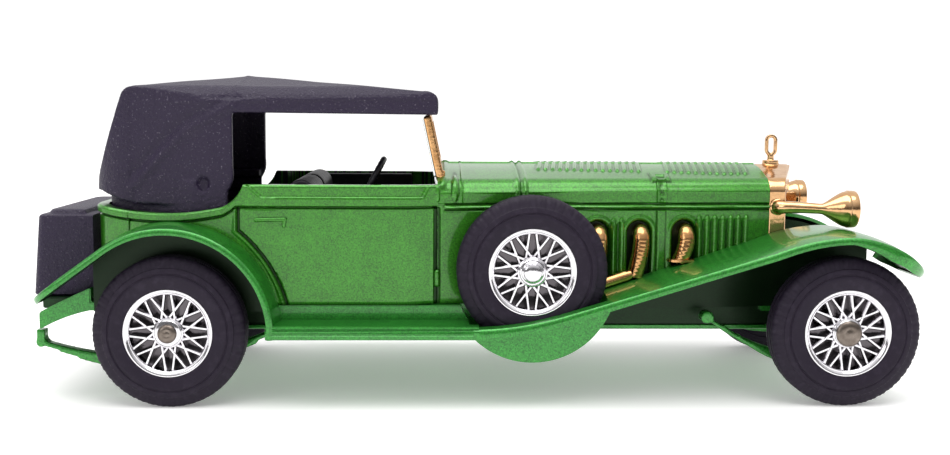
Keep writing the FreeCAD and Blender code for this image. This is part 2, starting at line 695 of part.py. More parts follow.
# ---- bright parts -------------------------------------------------------------------------------------
def radiator_shell():
    """A plated radiator: a vee front with a recessed grille of upright bars, and a plain loop on its cap."""
    half = bonnet_front_half_width
    back = x_radiator
    side = back + radiator_depth
    nose = side + radiator_point
    low = deck
    section = Part.Face(bonnet_section(back, half, 0, low)).extrude(Vector(nose - back + 1, 0, 0))
    plan = Outline("xy", back, -half).line((side, -half), (nose, 0), (side, half), (back, half))
    shell = plan.solid(low, bonnet_height + 0.3).common(section)
    slope = math.degrees(math.atan2(radiator_point, half))
    cuts = []
    bars = []
    for sign in (-1, 1):
        recess = box(-0.5, 1.0, 0.75, half - 0.75, low + 1.0, shoulder_height - 0.9)
        piece = recess if sign > 0 else mirrored(recess)
        piece.rotate(Vector(0, 0, 0), Vector(0, 0, 1), sign * slope)
        cuts.append(piece.translated(Vector(nose, 0, 0)))
        count = 12
        for number in range(count):
            y = 0.75 + (half - 1.5) * (number + 0.5) / count
            bar = box(-0.6, -0.12, y - 0.11, y + 0.11, low + 0.9, shoulder_height - 0.8)
            piece = bar if sign > 0 else mirrored(bar)
            piece.rotate(Vector(0, 0, 0), Vector(0, 0, 1), sign * slope)
            bars.append(piece.translated(Vector(nose, 0, 0)))
    shell = without(shell, cuts).multiFuse(bars)
    beak = Outline("xy", side - 0.8, -half + 0.6)
    beak.line((side + 0.15, -half + 0.6), (nose + 0.35, 0), (side + 0.15, half - 0.6))
    beak.line((side - 0.8, half - 0.6))
    beak = beak.solid(shoulder_height - 0.5, bonnet_height + 0.3).common(
        Part.Face(bonnet_section(back, half, 0.1, low)).extrude(Vector(nose - back + 1, 0, 0)))
    x = side + 0.3
    cap = rod(1.0, (x, 0, bonnet_height - 0.6), (x, 0, bonnet_height + 0.5))
    stalk = rod(0.4, (x, 0, bonnet_height), (x, 0, bonnet_height + 1.2))
    loop = finial_loop(x, 0.75, 1.35).cut(finial_loop(x, 0.36, 0.95))
    shell = shell.multiFuse([beak, cap, stalk, loop])
    holes = [rod(lamp_spigot_radius + slip, (lamp_x_stay, sign * (half - 1.3), lamp_height),
                 (lamp_x_stay, sign * (half + 1), lamp_height)) for sign in (-1, 1)]
    return without(shell, holes).removeSplitter()


def finial_loop(x, half, half_height):
    """An upright oval plate above the radiator cap."""
    middle = bonnet_height + 2.35
    straight = half_height - half
    oval = Outline("xz", x - half, middle - straight).line((x - half, middle + straight))
    oval.arc((x, middle + half_height), (x + half, middle + straight))
    oval.line((x + half, middle - straight))
    oval.arc((x, middle - half_height), (x - half, middle - straight))
    return oval.solid(-0.3, 0.3)


def headlamp():
    """The right headlamp: a bell with a shallow lens, on a stay that plugs into the radiator's side."""
    radius = lamp_diameter / 2
    x_bell = x_front - 0.8
    x_rim = x_front + 3.3
    bell = Outline("xy", x_bell, 0).line((x_bell, 0.55))
    bell.arc((x_bell + 1.9, 0.95), (x_rim - 0.7, radius - 0.1))
    bell.line((x_rim - 0.7, radius), (x_rim, radius), (x_rim, radius - 0.3), (x_rim - 0.35, radius - 0.4))
    bell.line((x_rim - 0.35, 0))
    turned_bell = Part.Face(bell.wire(0)).revolve(Vector(0, 0, 0), Vector(1, 0, 0), 360)
    turned_bell.translate(Vector(0, -lamp_spread, lamp_height))
    side = -bonnet_front_half_width
    elbow = (lamp_x_stay, side - 0.6, lamp_height)
    boss = rod(0.8, (lamp_x_stay, side - seat_gap, lamp_height), (lamp_x_stay, side - 1.2, lamp_height))
    stay = rod(0.5, elbow, (x_bell + 0.2, -lamp_spread, lamp_height))
    spigot = rod(lamp_spigot_radius, elbow, (lamp_x_stay, side + 1.2, lamp_height))
    return joined([turned_bell, boss, stay, spigot])


def exhaust_pipes():
    """Three plated pipes out of the bonnet's right side, with the collector that runs along the wing."""
    radius = pipe_diameter / 2
    collector = collector_diameter / 2
    level = pipe_height - 0.3
    pieces = []
    feet = []
    for x in pipe_stations:
        side = -bonnet_half_width(x)
        y = side - pipe_stand
        start = Vector(x, y + pipe_bend, level)
        end = Part.Face(Part.Wire(Part.makeCircle(radius, start, Vector(0, 1, 0))))
        pieces.append(end.revolve(start - Vector(0, 0, pipe_bend), Vector(1, 0, 0), 90))
        pieces.append(rod(radius, (x, y, level - pipe_bend), (x, y, wing_top(x) + 0.6)))
        pieces.append(rod(pipe_peg_radius, (x, start.y - 0.5, level), (x, side + 1.4, level)))
        feet.append((x, y - 0.3, wing_top(x) + 1.3))
    pieces.append(rod(collector, (feet[0][0] - 2.2, feet[0][1] - 0.2, feet[0][2] - 0.6), feet[0]))
    for start, end in zip(feet, feet[1:]):
        pieces.append(rod(collector, start, end))
    return joined(pieces)


def wing_top(x):
    """The front wing's top on its straight rise."""
    share = (x - x_ramp) / (x_crest_start - x_ramp)
    return board + 1.35 + share * (front_crest - 1.7 - board - 1.35)


# ---- windscreen ---------------------------------------------------------------------------------------
def raked(shape):
    """Leans a piece back about the foot of the windscreen."""
    shape.rotate(Vector(x_screen, 0, belt), Vector(0, 1, 0), -screen_rake)
    return shape


def windscreen_frame():
    """A plated frame of two posts and two rails, shaped to the scuttle it stands on."""
    bar = 0.75
    outer = screen_post_y + bar / 2
    slab = raked(wide_box(x_screen - 0.7, x_screen, outer, belt - 3, screen_top))
    opening = raked(wide_box(x_screen - 2, x_screen + 2, outer - bar, belt - 3, screen_top - bar))
    foot = bonnet_block(-slip, deck, x_radiator)
    foot = foot.fuse(wide_box(x_cowl - 3, x_cowl, half_width, deck, belt + slip))
    scuttle = bonnet_block(-bar, deck, x_radiator)
    scuttle = scuttle.fuse(wide_box(x_cowl - 3, x_cowl, outer - bar, deck, bonnet_height - 1.2 + bar))
    frame = slab.cut(opening.cut(scuttle)).cut(foot)
    pegs = [rod(screen_peg_radius, (x_screen - 0.35, side * screen_post_y, belt - 0.9),
                (x_screen - 0.35, side * screen_post_y, belt + 1.4)) for side in (-1, 1)]
    return joined([frame] + pegs)


def windscreen_glass():
    """A clear sheet behind the frame."""
    outer = screen_post_y + 0.2
    sheet = raked(wide_box(x_screen - 1.0, x_screen - 0.7, outer, belt + 0.1, screen_top - 0.2))
    block = bonnet_block(-seat_gap, deck, x_radiator)
    pegs = [rod(screen_peg_radius + slip, (x_screen - 0.35, side * screen_post_y, belt - 1),
                (x_screen - 0.35, side * screen_post_y, belt + 1.5)) for side in (-1, 1)]
    return sheet.cut(block).cut(Part.makeCompound(pegs))


# ---- cabin --------------------------------------------------------------------------------------------
def column_point(distance, lift=0.0):
    """A point on the steering column's line, distance in front of the wheel's middle."""
    turn = math.radians(column_rake)
    return (steering_x + distance * math.cos(turn) + lift * math.sin(turn), steering_y,
            steering_z - distance * math.sin(turn) + lift * math.cos(turn))


def interior_tub():
    """The black cabin moulding: floor, door linings, two front seats and a rear bench."""
    floor_half = well_inner - seat_gap
    floor_top = deck + plastic_wall
    rear = x_tub_rear + 5.0
    front = x_dash - 1.2
    pieces = [wide_box(rear, front - 2.4, floor_half, deck, floor_top)]
    lining = body_half_width - casting_wall - seat_gap
    side = box(x_rear + rear_wing_radius + 0.5, x_cowl - 3.4, -lining, -lining + plastic_wall,
               deck, belt - 0.25)
    side = side.fuse(box(x_rear + rear_wing_radius + 0.5, x_cowl - 3.4, -lining, -floor_half + 0.5,
                         deck, floor_top))
    seat_back = x_rear + 12.6
    seat_top = belt + 0.35
    cushion = box(seat_back + 1, seat_back + 9.8, -floor_half + 0.9, -0.7, floor_top - 0.2, deck + 5.6)
    cushion = rounded(cushion, 0.6, lambda edge: edge.BoundBox.ZMin > deck + 5)
    back = Outline("xz", seat_back + 1.2, floor_top - 0.2)
    back.line((seat_back - 0.2, seat_top - 1.3))
    back.arc((seat_back + 1.4, seat_top), (seat_back + 3.0, seat_top - 1.3))
    back.line((seat_back + 4.4, floor_top - 0.2))
    bench = box(rear + 1.5, rear + 10.0, -floor_half + 0.6, 0, floor_top - 0.2, deck + 6.0)
    rear_back = Outline("xz", rear, floor_top - 0.2)
    rear_back.line((rear, tub_rim + 0.4))
    rear_back.arc((rear + 1.1, tub_rim + 1.2), (rear + 2.3, tub_rim + 0.2))
    rear_back.line((rear + 3.2, floor_top - 0.2))
    room = tub_plan(hood_skirt + plastic_wall + seat_gap).solid(deck, belt + 5)
    pieces += both_sides([side, cushion, back.solid(-floor_half + 0.9, -0.7), bench.common(room),
                          rear_back.solid(-floor_half + 0.6, 0).common(room)])
    return joined(pieces).common(tub_plan(casting_wall + seat_gap).solid(deck, belt + 5))


def dashboard():
    """A dash panel that fills the scuttle's mouth, with instrument bosses and the steering column."""
    inset = casting_wall + seat_gap
    half = cowl_half_width - 0.25
    low = belt - 7.0
    panel = Part.Face(bonnet_section(x_dash, half, inset, low)).extrude(Vector(1.0, 0, 0))
    column = rod(0.5, column_point(0.7), column_point((x_dash - steering_x + 0.5) / math.cos(
        math.radians(column_rake))))
    dials = [rod(0.9, (x_dash - 0.25, y, belt - 2.0), (x_dash + 0.2, y, belt - 2.0)) for y in (-2.2, 0, 2.2)]
    stem = rod(0.35, column_point(0.2), column_point(1.0))
    return joined([panel, column, stem] + dials)


def steering_wheel():
    """A four-spoked wheel on the column's stem."""
    turn = math.radians(column_rake)
    axis = Vector(math.cos(turn), 0, -math.sin(turn))
    centre = Vector(*column_point(0))
    radius = steering_wheel_diameter / 2
    ring = Part.makeTorus(radius - 0.35, 0.35, centre, axis)
    pieces = [Part.makeCylinder(0.85, 0.7, centre - axis * 0.3, axis)]
    across = Vector(0, 1, 0)
    up = axis.cross(across)
    for angle in (45, 135, 225, 315):
        spoke_turn = math.radians(angle)
        way = across * math.cos(spoke_turn) + up * math.sin(spoke_turn)
        pieces.append(Part.makeCylinder(0.25, radius - 0.4, centre, way))
    wheel_piece = ring.multiFuse(pieces)
    stem = rod(0.35 + slip, column_point(0.0), column_point(1.2))
    return wheel_piece.cut(stem).removeSplitter()


# ---- hood and trunk -----------------------------------------------------------------------------------
def hood_profile(inset):
    """The hood's closed side view: raked back, gently peaked roof and a lipped front."""
    low = tub_rim + 0.9
    x_peak = x_rear + 6.9
    profile = Outline("xz", x_tub_rear - 0.3 + inset, low - (3 if inset else 0))
    profile.line((x_tub_rear + 0.1 + inset, low + 3.0), (x_tub_rear + 3.3 + inset, roof - 2.5 - inset))
    profile.arc((x_tub_rear + 3.8 + inset, roof - 1.75 - inset),
                (x_tub_rear + 5.2 + inset, roof - 1.25 - inset))
    profile.line((x_peak, roof - inset), (x_hood_front - 1.8 + inset, roof - 1.75 - inset))
    if inset:
        profile.line((x_hood_front + 3, roof - 1.9 - inset), (x_hood_front + 3, low - 3))
    else:
        profile.arc((x_hood_front - 0.4, roof - 2.15), (x_hood_front, roof - 3.2))
        profile.line((x_hood_front - 0.2, low))
    return profile


def hood_block(inset, low, high):
    """The hood's outer or inner form: the side view crossed with its end view and its plan."""
    half = hood_half_width - inset
    top = roof - inset + 0.5
    eave = roof - 3.4 - inset
    end = Outline("yz", -half, low).line((-half, eave))
    end.arc((-half + 0.75, eave + 1.5), (-half + 2.6, eave + 2.2))
    end.line((0, top), (half - 2.6, eave + 2.2))
    end.arc((half - 0.75, eave + 1.5), (half, eave)).line((half, low))
    ends = end.solid(x_tub_rear - 5, x_hood_front + 5)
    rear = x_tub_rear - 0.4 + inset
    corner = 4.0
    front = hood_half_width - 1.2 - inset
    plan = Outline("xy", x_hood_front + 5, -front)
    plan.line((x_hood_front - 3, -half + 0.4), (x_rear + 4, -half), (rear + corner + 1, -half + 1.4))
    plan.arc((rear + 1.1, -half + 2.9), (rear, -half + 1.4 + corner))
    plan.line((rear, half - 1.4 - corner))
    plan.arc((rear + 1.1, half - 2.9), (rear + corner + 1, half - 1.4))
    plan.line((x_rear + 4, half), (x_hood_front - 3, half - 0.4), (x_hood_front + 5, front))
    return hood_profile(inset).solid(-half_width, half_width).common(ends).common(plan.solid(low, high))


def hood_top():
    """The moulded hood: roof, quarter panels with their bowed lower edge, and a skirt inside the tub."""
    low = tub_rim - 3
    outer = hood_block(0, low, roof + 1)
    inner = hood_block(plastic_wall + 0.1, low - 1, roof + 1)
    shell = outer.cut(inner)
    bow = Outline("xz", x_tub_rear - 5, tub_rim + 2.3)
    bow.line((x_tub_rear + 0.6, tub_rim + 2.3))
    bow.arc((x_rear + 0.5, tub_rim + 0.75), (x_quarter - 1.4, tub_rim + 1.7))
    bow.arc((x_quarter - 0.4, tub_rim + 2.7), (x_quarter, tub_rim + 5.0))
    bow.line((x_quarter, roof_edge), (x_hood_front + 5, roof_edge - 0.2), (x_hood_front + 5, low - 2))
    bow.line((x_tub_rear - 5, low - 2))
    shell = shell.cut(bow.solid(-half_width, half_width))
    skirt = tub_plan(hood_skirt).solid(tub_rim - 0.55, tub_rim + 3.6)
    skirt = skirt.cut(tub_plan(hood_skirt + plastic_wall).solid(low, roof))
    skirt = skirt.common(box(x_tub_rear - 1, x_quarter - 0.6, -half_width, half_width, low, roof))
    tie = outer.cut(hood_block(plastic_wall + 1.6, low - 1, roof + 1))
    tie = tie.common(wide_box(x_tub_rear - 3, x_quarter - 0.6, half_width, tub_rim + 2.7, tub_rim + 3.6))
    tie = tie.cut(bow.solid(-half_width, half_width))
    hood = joined([shell, skirt, tie])
    x_hole = x_rear + 3.3
    hole_height = tub_rim + 3.3
    hole = rod(hood_hole_radius, (x_hole, -half_width, hole_height),
               (x_hole, -hood_half_width + hood_hole_depth, hole_height))
    return without(hood, [hole, mirrored(hole)])


def luggage_trunk():
    """A trunk with a raked back, rounded corners and a stepped lid."""
    half = trunk_half_width
    profile = Outline("xz", x_trunk_front, trunk_bottom).line((x_trunk_rear, trunk_bottom))
    profile.line((x_trunk_rear + trunk_rake, trunk_top - 0.6), (x_trunk_front, trunk_top - 0.6))
    body = profile.solid(-half, half)
    body = rounded(body, 1.0, lambda edge: edge.BoundBox.XMax < x_trunk_rear + trunk_rake + 0.1
                   and edge.BoundBox.ZLength > 1)
    top = wide_box(x_trunk_rear + trunk_rake + 0.9, x_trunk_front, half - 0.9, trunk_top - 1.0, trunk_top)
    top = rounded(top, 0.8, lambda edge: runs_along(edge, 2) and edge.BoundBox.XMax < x_trunk_rear + 3)
    return joined([body, top])


def spare_wheel():
    """The right spare wheel: a closed boss in place of the bore and a peg that plugs into the body."""
    solid = wheel(x_spare, spare_height, spare_face, -1, spare_hub_end)
    cap = turned([(-spare_face + 0.1, 0), (-spare_face + 0.1, 1.15), (-spare_face - 0.3, 0.95),
                  (-spare_face - 0.4, 0.5), (-spare_face - 0.4, 0)], x_spare, spare_height)
    peg = rod(spare_peg_radius, (x_spare, -spare_hub_end - 0.5, spare_height),
              (x_spare, -spare_hub_end + spare_peg_depth, spare_height))
    return joined([solid, cap, peg])


# ---- every node ---------------------------------------------------------------------------------------
def build():
    right_spare = spare_wheel()
    right_spare_tyre = tyre(x_spare, spare_height, spare_face, -1)
    right_lamp = headlamp()
    nodes = {
        "body_shell": body_shell(),
        "chassis_wings": chassis_wings(),
        "base_plate": base_plate(),
        "radiator_shell": radiator_shell(),
        "headlamp_right": right_lamp,
        "headlamp_left": mirrored(right_lamp),
        "exhaust_pipes": exhaust_pipes(),
        "windscreen_frame": windscreen_frame(),
        "windscreen_glass": windscreen_glass(),
        "interior_tub": interior_tub(),
        "dashboard": dashboard(),
        "steering_wheel": steering_wheel(),
        "hood_top": hood_top(),
        "luggage_trunk": luggage_trunk(),
        "spare_wheel_right": right_spare,
        "spare_wheel_left": mirrored(right_spare),
        "spare_tyre_right": right_spare_tyre,
        "spare_tyre_left": mirrored(right_spare_tyre),
        "front_axle": axle(x_front, front_head_diameter),
        "rear_axle": axle(x_rear, rear_head_diameter),
    }
    for end, x in (("front", x_front), ("rear", x_rear)):
        for name, side in (("right", -1), ("left", 1)):
            nodes["wheel_%s_%s" % (end, name)] = road_wheel(x, side)
            nodes["tyre_%s_%s" % (end, name)] = tyre(x, axle_height, wheel_face, side)
    return nodes


os.makedirs("parts", exist_ok=True)
for node, shape in build().items():
    shape.exportStep("parts/%s.step" % node)
    print(node, len(shape.Solids), "solids", round(shape.Volume, 1), "mm3", shape.isValid())
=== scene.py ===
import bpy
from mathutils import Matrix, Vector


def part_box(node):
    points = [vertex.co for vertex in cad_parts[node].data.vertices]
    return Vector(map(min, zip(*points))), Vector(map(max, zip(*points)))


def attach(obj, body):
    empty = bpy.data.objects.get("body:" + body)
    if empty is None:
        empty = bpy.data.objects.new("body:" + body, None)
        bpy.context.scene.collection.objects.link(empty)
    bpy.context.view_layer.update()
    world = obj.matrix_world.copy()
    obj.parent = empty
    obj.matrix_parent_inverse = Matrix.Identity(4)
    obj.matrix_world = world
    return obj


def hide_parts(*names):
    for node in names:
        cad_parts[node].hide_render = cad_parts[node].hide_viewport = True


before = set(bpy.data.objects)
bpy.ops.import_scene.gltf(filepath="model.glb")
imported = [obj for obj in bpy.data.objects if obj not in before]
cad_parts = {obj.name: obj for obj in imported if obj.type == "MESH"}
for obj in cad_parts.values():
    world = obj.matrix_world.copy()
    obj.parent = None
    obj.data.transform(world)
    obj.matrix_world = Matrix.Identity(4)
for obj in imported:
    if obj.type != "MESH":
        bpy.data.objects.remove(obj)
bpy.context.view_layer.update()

import math

import bmesh
import bpy
import numpy as np
from mathutils import Matrix

bl_info = {
    "name": "Diecast tourer",
    "version": (1, 0, 0),
    "blender": (4, 5, 0),
    "location": "3D View > Sidebar > Diecast tourer",
    "description": "Finishes and fine detail for a 1:45 diecast tourer, built on its packed CAD frame",
    "category": "Object",
}


# ---- stations and levels, in millimetres, read from the frame -------------------------------------------
def corners(node):
    """A CAD node's lowest and highest corner, in millimetres."""
    low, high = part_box(node)
    return np.array(low) * 1000, np.array(high) * 1000


def middle(node):
    """The middle of a CAD node's box, in millimetres."""
    low, high = corners(node)
    return (low + high) / 2


TYRE_LOW, TYRE_HIGH = corners("tyre_front_right")
RADIATOR_LOW = corners("radiator_shell")[0]
WINGS_LOW, WINGS_HIGH = corners("chassis_wings")
TRUNK_LOW, TRUNK_HIGH = corners("luggage_trunk")
HOOD_TOP = corners("hood_top")[1][2]
WHEEL_CENTRE = middle("steering_wheel")

X_FRONT = middle("front_axle")[0]
X_REAR = middle("rear_axle")[0]
AXLE = middle("front_axle")[2]
TYRE_RADIUS = (TYRE_HIGH[2] - TYRE_LOW[2]) / 2
TYRE_WIDTH = TYRE_HIGH[1] - TYRE_LOW[1]
WHEEL_FACE = -TYRE_LOW[1]
TYRE_INNER = WHEEL_FACE - TYRE_WIDTH
SPARE_FACE = -corners("spare_tyre_right")[0][1]
X_SPARE = middle("spare_tyre_right")[0]
SPARE_HEIGHT = middle("spare_tyre_right")[2]
HALF_WIDTH = -WINGS_LOW[1] - 0.01
X_TIP = WINGS_HIGH[0]
DECK = RADIATOR_LOW[2]
X_RADIATOR = RADIATOR_LOW[0]

X_TUB_REAR = X_REAR - 9.4
X_DOOR_REAR = X_REAR + 7.9
X_COWL = X_FRONT - 46.0
X_BONNET = X_FRONT - 36.4
X_TAIL = X_REAR - 15.3
X_FOOT = X_REAR + 11.2
X_BOARD_END = X_FRONT - 42.0
X_RAMP = X_FRONT - 32.5
X_CREST_START = X_FRONT - 8.4
X_STRAP = X_FRONT - 19.8
PIPE_STATIONS = (X_FRONT - 27.4, X_FRONT - 22.4, X_FRONT - 17.0)

BOARD = AXLE + 0.95
BOARD_THICKNESS = 1.5
RAMP_FOOT = BOARD + 1.35
CREST = AXLE + TYRE_RADIUS + 2.8
CREST_SHOULDER = CREST - 1.7
TUB_RIM = DECK + 10.3
HINGE = DECK + 10.95
SHOULDER = DECK + 12.65
BELT = DECK + 13.6
BONNET_TOP = DECK + 15.45
PIPE_LEVEL = DECK + 7.9
LAMP_HEIGHT = middle("headlamp_right")[2]
LAMP_SPREAD = 10.0
BASE_TOP = AXLE - 0.8

BODY_HALF = 14.5
TAIL_HALF = 11.2
COWL_HALF = 13.4
BONNET_REAR_HALF = 11.9
BONNET_FRONT_HALF = 7.9
RAIL_HALF = 8.0
WELL_INNER = SPARE_FACE - TYRE_WIDTH - 0.75
WELL_OUTER = SPARE_FACE + 0.75
WELL_RADIUS = TYRE_RADIUS + 0.85
WELL_HEIGHT = SPARE_HEIGHT - 0.7
REAR_ARCH = TYRE_RADIUS + 3.6
ARCH_TURN = 126
WALL = 1.0
GAP = 0.12


# ---- number and curve helpers ---------------------------------------------------------------------------
def smooth(low, high, value):
    """0 below low, 1 above high and an eased ramp between."""
    share = np.clip((value - low) / (high - low), 0, 1)
    return share * share * (3 - 2 * share)


def band(value, low, high, soft=0.12):
    """1 between low and high, with soft edges."""
    half = soft / 2
    return smooth(low - half, low + half, value) * (1 - smooth(high - half, high + half, value))


def ridge(value, centre, width):
    """A rounded ridge of height 1."""
    share = np.clip(np.abs(value - centre) / (width / 2), 0, 1)
    return 1 - share * share


def arc_points(start, through, end, count):
    """Points on the circle arc from start to end through a third point."""
    (ax, ay), (bx, by), (cx, cy) = start, through, end
    twice = 2 * (ax * (by - cy) + bx * (cy - ay) + cx * (ay - by))
    a2, b2, c2 = ax * ax + ay * ay, bx * bx + by * by, cx * cx + cy * cy
    ux = (a2 * (by - cy) + b2 * (cy - ay) + c2 * (ay - by)) / twice
    uy = (a2 * (cx - bx) + b2 * (ax - cx) + c2 * (bx - ax)) / twice
    radius = math.hypot(ax - ux, ay - uy)
    first = math.atan2(ay - uy, ax - ux)
    sweep = (math.atan2(cy - uy, cx - ux) - first) % (2 * math.pi)
    if (math.atan2(by - uy, bx - ux) - first) % (2 * math.pi) > sweep:
        sweep -= 2 * math.pi
    turns = first + sweep * np.linspace(0, 1, count + 1)
    return [(ux + radius * math.cos(t), uy + radius * math.sin(t)) for t in turns]


def round_points(x, z, radius, start, end, count):
    """Points about x, z between two angles in degrees."""
    turns = np.radians(np.linspace(start, end, count + 1))
    return [(x + radius * math.cos(t), z + radius * math.sin(t)) for t in turns]


def run_length(points):
    """How far along a line each of its points lies."""
    steps = np.linalg.norm(np.diff(np.asarray(points, float), axis=0), axis=1)
    return np.concatenate([[0], np.cumsum(steps)])


def resampled(points, spacing):
    """The same line with even steps."""
    points = np.asarray(points, float)
    run = run_length(points)
    where = np.linspace(0, run[-1], max(2, int(round(run[-1] / spacing)) + 1))
    return np.column_stack([np.interp(where, run, points[:, i]) for i in range(points.shape[1])])


def softened(points, reach):
    """The line with its corners eased over reach steps each way, and its ends kept."""
    padded = np.pad(points, ((reach, reach), (0, 0)), mode="reflect", reflect_type="odd")
    kernel = np.ones(2 * reach + 1) / (2 * reach + 1)
    return np.column_stack([np.convolve(padded[:, i], kernel, "valid") for i in range(points.shape[1])])


def side_of(points):
    """Unit vectors square to a flat line, on its left."""
    along = np.gradient(points, axis=0)
    along /= np.linalg.norm(along, axis=1)[:, None]
    return np.column_stack([-along[:, 1], along[:, 0]])


def distance_to_line(x, z, points):
    """Distance from each place to a line of points, positive on the line's left."""
    best = np.full(x.shape, 1e9)
    sign = np.ones(x.shape)
    for (ax, az), (bx, bz) in zip(points[:-1], points[1:]):
        dx, dz = bx - ax, bz - az
        if dx * dx + dz * dz < 1e-12:
            continue
        share = np.clip(((x - ax) * dx + (z - az) * dz) / (dx * dx + dz * dz), 0, 1)
        away = np.hypot(x - ax - share * dx, z - az - share * dz)
        left = dx * (z - az) - dz * (x - ax)
        sign = np.where(away < best, np.sign(left), sign)
        best = np.minimum(best, away)
    return best * sign


# ---- mesh helpers ---------------------------------------------------------------------------------------
class Shell:
    """Closed skins gathered in millimetres, with a painted shade value at each point that darkens hollows,
    grooves, undersides and inner walls where shade falls.
    """

    def __init__(self):
        self.points = []
        self.painted_shade = []
        self.faces = []
        self.count = 0

    def add(self, points, faces, painted_shade=None):
        points = np.asarray(points, float).reshape(-1, 3)
        self.faces += [[corner + self.count for corner in face] for face in faces]
        self.points.append(points)
        self.painted_shade.append(np.zeros(len(points)) if painted_shade is None else np.asarray(painted_shade).ravel())
        self.count += len(points)

    def grid(self, points, wrap_rows=False, wrap_columns=False, painted_shade=None):
        """A sheet of four-sided faces over a grid of points."""
        points = np.asarray(points, float)
        n, m = points.shape[:2]
        index = np.arange(n * m).reshape(n, m)
        if wrap_rows:
            index = np.vstack([index, index[:1]])
        if wrap_columns:
            index = np.hstack([index, index[:, :1]])
        quads = np.stack([index[:-1, :-1], index[1:, :-1], index[1:, 1:], index[:-1, 1:]], -1)
        self.add(points, quads.reshape(-1, 4).tolist(), painted_shade)

    def lathe(self, profile, centre, axis, segments, shift=None, painted_shade=0.0):
        """A closed profile of (along, radius) points turned about an axis, 0 for X and 1 for Y."""
        profile = np.asarray(profile, float)
        turn = np.linspace(0, 2 * math.pi, segments, endpoint=False)[:, None]
        radius = profile[None, :, 1] + (0 if shift is None else shift)
        along = np.repeat(profile[None, :, 0], segments, axis=0)
        around = [radius * np.cos(turn), radius * np.sin(turn)]
        parts = [along, *around] if axis == 0 else [around[0], along, around[1]]
        self.grid(np.stack(parts, -1) + np.asarray(centre), wrap_rows=True, wrap_columns=True,
                  painted_shade=np.full(along.shape, painted_shade))

    def tube(self, path, radii, sides=20):
        """A round bar along a path with closed ends."""
        path = np.asarray(path, float)
        radii = np.broadcast_to(radii, len(path))
        along = np.gradient(path, axis=0)
        along /= np.linalg.norm(along, axis=1)[:, None]
        lead = np.array([0.0, 0.0, 1.0]) if abs(along[0][2]) < 0.9 else np.array([1.0, 0.0, 0.0])
        rings = []
        turn = np.linspace(0, 2 * math.pi, sides, endpoint=False)[:, None]
        for place, way, radius in zip(path, along, radii):
            lead = lead - way * np.dot(lead, way)
            lead /= np.linalg.norm(lead)
            other = np.cross(way, lead)
            rings.append(place + radius * (np.cos(turn) * lead + np.sin(turn) * other))
        self.grid(np.array(rings), wrap_columns=True)
        last = (len(rings) - 1) * sides
        base = self.count - len(rings) * sides
        self.faces.append([base + i for i in range(sides)])
        self.faces.append([base + last + i for i in range(sides)])

    def prism(self, outline, plane, low, high, bevel=0.08, painted_shade=0.0):
        """A flat outline in the xz, xy or yz plane, pulled out to a solid with rounded edges."""
        order = {"xz": (0, 2, 1), "xy": (0, 1, 2), "yz": (1, 2, 0)}[plane]
        solid = bmesh.new()
        loops = []
        for level in (low, high):
            loop = []
            for a, b in outline:
                place = [0.0, 0.0, 0.0]
                place[order[0]], place[order[1]], place[order[2]] = a, b, level
                loop.append(solid.verts.new(place))
            loops.append(loop)
        solid.faces.new(loops[0])
        solid.faces.new(loops[1])
        count = len(outline)
        for i in range(count):
            j = (i + 1) % count
            solid.faces.new((loops[0][i], loops[0][j], loops[1][j], loops[1][i]))
        bmesh.ops.recalc_face_normals(solid, faces=solid.faces)
        if bevel:
            sharp = [edge for edge in solid.edges if edge.calc_face_angle(0) > 0.5]
            bmesh.ops.bevel(solid, geom=sharp, offset=bevel, segments=2, affect="EDGES", clamp_overlap=True)
        solid.verts.index_update()
        self.add([vert.co[:] for vert in solid.verts],
                 [[vert.index for vert in face.verts] for face in solid.faces],
                 np.full(len(solid.verts), painted_shade))
        solid.free()

    def mirror(self):
        """Adds the same skins on the other side of the car."""
        count = self.count
        points = np.vstack(self.points) * (1, -1, 1)
        self.faces += [[corner + count for corner in reversed(face)] for face in self.faces]
        self.points.append(points)
        self.painted_shade.append(np.concatenate(self.painted_shade))
        self.count *= 2

    def mesh(self, name):
        """The skins as a mesh in metres, with shared borders merged and faces turned outward."""
        mesh = bpy.data.meshes.new(name)
        mesh.from_pydata((np.vstack(self.points) / 1000).tolist(), [], self.faces)
        # The painted_shade attribute: how far each point's paint is darkened as painted shade.
        attribute = mesh.attributes.new("painted_shade", "FLOAT", "POINT")
        attribute.data.foreach_set("value", np.concatenate(self.painted_shade).astype(np.float32))
        solid = bmesh.new()
        solid.from_mesh(mesh)
        bmesh.ops.remove_doubles(solid, verts=solid.verts, dist=2e-7)
        bmesh.ops.recalc_face_normals(solid, faces=solid.faces)
        solid.to_mesh(mesh)
        solid.free()
        return mesh


def place(name, skin, node_name, look, body="car", sharp=38, slot=None):
    """Shows a skin as a piece that rides on a CAD body, stands for a CAD node and takes a finish."""
    mesh = skin.mesh(name) if isinstance(skin, Shell) else skin
    mesh.materials.clear()
    mesh.materials.append(finish(look))
    mesh.shade_smooth()
    mesh.set_sharp_from_angle(angle=math.radians(sharp))
    piece = bpy.data.objects.new(name, mesh)
    bpy.context.scene.collection.objects.link(piece)
    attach(piece, body)
    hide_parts(node_name)


def settled_mesh(source, modifiers):
    """A mesh with modifiers worked in, from (kind, settings) pairs."""
    thing = bpy.data.objects.new("working_copy", source)
    bpy.context.scene.collection.objects.link(thing)
    for kind, settings in modifiers:
        modifier = thing.modifiers.new(kind.lower(), kind)
        for key, value in settings.items():
            setattr(modifier, key, value)
    depsgraph = bpy.context.evaluated_depsgraph_get()
    depsgraph.update()
    made = bpy.data.meshes.new_from_object(thing.evaluated_get(depsgraph))
    bpy.data.objects.remove(thing)
    return made


def cast_copy(node, grid_mm, rounds=3):
    """A copy of a CAD node skinned again on a fine grid, so that its edges are eased as on a casting."""
    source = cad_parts[node].data.copy()
    return settled_mesh(source, [
        ("REMESH", {"mode": "VOXEL", "voxel_size": grid_mm / 1000, "adaptivity": 0.0}),
        ("SMOOTH", {"factor": 0.5, "iterations": rounds}),
    ])


